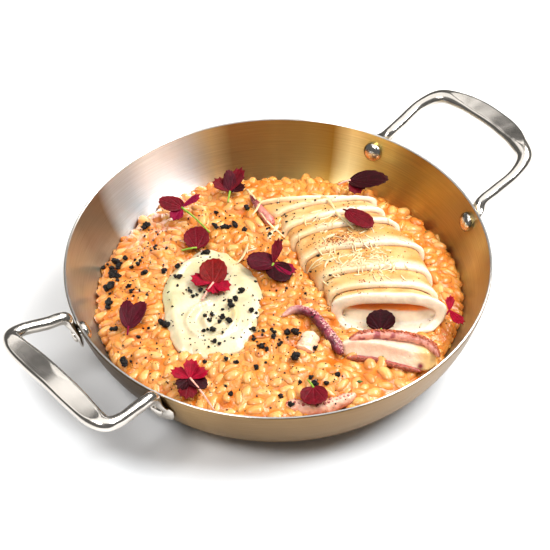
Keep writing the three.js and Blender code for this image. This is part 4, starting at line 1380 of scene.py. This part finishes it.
def make_camera():
    """Looks down on the dish from the diner's side."""
    target, elevation, distance = (-1.6, -9.6, 44), radians(44.66), 1800
    back, up = cos(elevation) * distance, sin(elevation) * distance
    place = plate_place(target[0], target[1] - back, target[2] + up)
    camera = placed("camera", bpy.data.cameras.new("camera"))
    camera.data.sensor_width = 36
    camera.data.lens = 231.1
    camera.data.clip_end = 100
    roll = Matrix.Rotation(radians(-1.18), 4, "Z")
    look = facing(place, plate_place(*target)).to_matrix().to_4x4()
    camera.matrix_world = Matrix.Translation(place) @ look @ roll
    bpy.context.scene.camera = camera


# Soft lights: place and target as across, away and up, then size in metres, watts and tone.
DISH = (0, 0, 20)
LIGHTS = {
    "key": ((816, 571, 1200), DISH, (0.8, 0.65), 21, (1, 0.97, 0.93)),
    "side": ((906, -192, 1274), DISH, (0.5, 0.5), 17, (0.91, 0.96, 1)),
    "fill": ((-560, -620, 1350), DISH, (0.6, 0.45), 12, (1, 1, 1)),
    "top": ((0, 200, 1900), DISH, (2.4, 1.8), 19, (1, 1, 1)),
    "left_card": ((-240, 1010, 1345), (-110, -90, 50), (0.34, 0.34), 0.6, (1, 1, 1)),
    "right_card": ((340, 1300, 1040), (110, 90, 50), (0.34, 0.34), 0.6, (1, 1, 1)),
}


def make_studio():
    """A white table top, soft lights and a faint even sky."""
    floor = bpy.data.meshes.new("floor")
    half, level = 40.0, -0.0002  # in metres; the dish stands just above it
    corners = [(x * half, y * half, level) for x, y in ((-1, -1), (1, -1), (1, 1), (-1, 1))]
    floor.from_pydata(corners, [], [(0, 1, 2, 3)])
    floor.materials.append(floor_look())
    placed("floor", floor)
    for name, (place, target, size, power, tone) in LIGHTS.items():
        light = bpy.data.lights.new(name, "AREA")
        light.shape = "RECTANGLE"
        light.size, light.size_y = size
        light.energy = power
        light.color = tone
        lamp = placed(name, light)
        lamp.location = plate_place(*place)
        lamp.rotation_euler = facing(lamp.location, plate_place(*target)).to_euler()
    world = bpy.data.worlds.new("studio")
    world.use_nodes = True
    sky = world.node_tree.nodes["Background"].inputs
    sky["Color"].default_value = (1, 1, 1, 1)
    sky["Strength"].default_value = 0.15
    bpy.context.scene.world = world
    bpy.context.scene.view_settings.view_transform = "Standard"


# ---- The dish ----

def plate_points(piece):
    """A piece's points in the diner's frame, in millimetres."""
    flat = np.empty(len(piece.data.vertices) * 3)
    piece.data.vertices.foreach_get("co", flat)
    return turned_points(flat.reshape(-1, 3) / MM, SERVING_TURN)


def plate_tree(*pieces):
    """A search tree over pieces, in the diner's frame and in millimetres."""
    points, faces = [], []
    for piece in pieces:
        faces.extend([len(points) + i for i in face.vertices] for face in piece.data.polygons)
        points.extend(plate_points(piece).tolist())
    return BVHTree.FromPolygons(points, faces)


make_camera()
make_studio()

make_pan(brushed_steel())
polish = polished_steel()
for end in GRIPS:
    make_handle(end, polish)
    far = 1 if end == "right" else -1
    make_rivet(end, "far", far, polish)
    make_rivet(end, "near", -far, polish)

flesh = wet_food("squid flesh", grain=0.0012, depth=0.00022, roughness=0.3, subsurface=0.25)
skin = wet_food("squid skin", grain=0.0007, depth=0.0003, roughness=0.32, subsurface=0.15)
rice_look = wet_food("rice", grain=0.0016, depth=0.0002, roughness=0.22, subsurface=0.6,
                     radius=(0.005, 0.0035, 0.0018))
sauce_look = wet_food("sauce", grain=0.0012, depth=0.0004, roughness=0.24, subsurface=0.3,
                      radius=(0.004, 0.0028, 0.0015))
cream_look = wet_food("cheese cream", grain=0.0016, depth=0.0002, roughness=0.25, subsurface=0.3)
cheese_look = wet_food("hard cheese", grain=0.0008, depth=0.0002, roughness=0.45, subsurface=0.3)
fleck_look = wet_food("spice", grain=0.0005, depth=0.0003, roughness=0.6, subsurface=0.0)
leaf = leaf_look()

cream = make_cream(cream_look)
squid = [make_slice(number, flesh) for number in range(len(SLICES))]
head = make_head(flesh)
arms = [make_arm(name, flesh if name == "squid_morsel" else skin) for name in ARMS]
toppings = [plate_tree(cream), plate_tree(*squid), plate_tree(head, *arms)]
grains = make_rice(rice_look, toppings)
sauce = make_sauce(sauce_look, plate_points(grains), toppings)
for name in SPRIGS:
    make_sprig(name, leaf)
surfaces = [plate_tree(grains, sauce), *toppings]
make_crumbs(crumb_look(), surfaces)
make_shreds(cheese_look, surfaces)
make_flecks(fleck_look, surfaces)
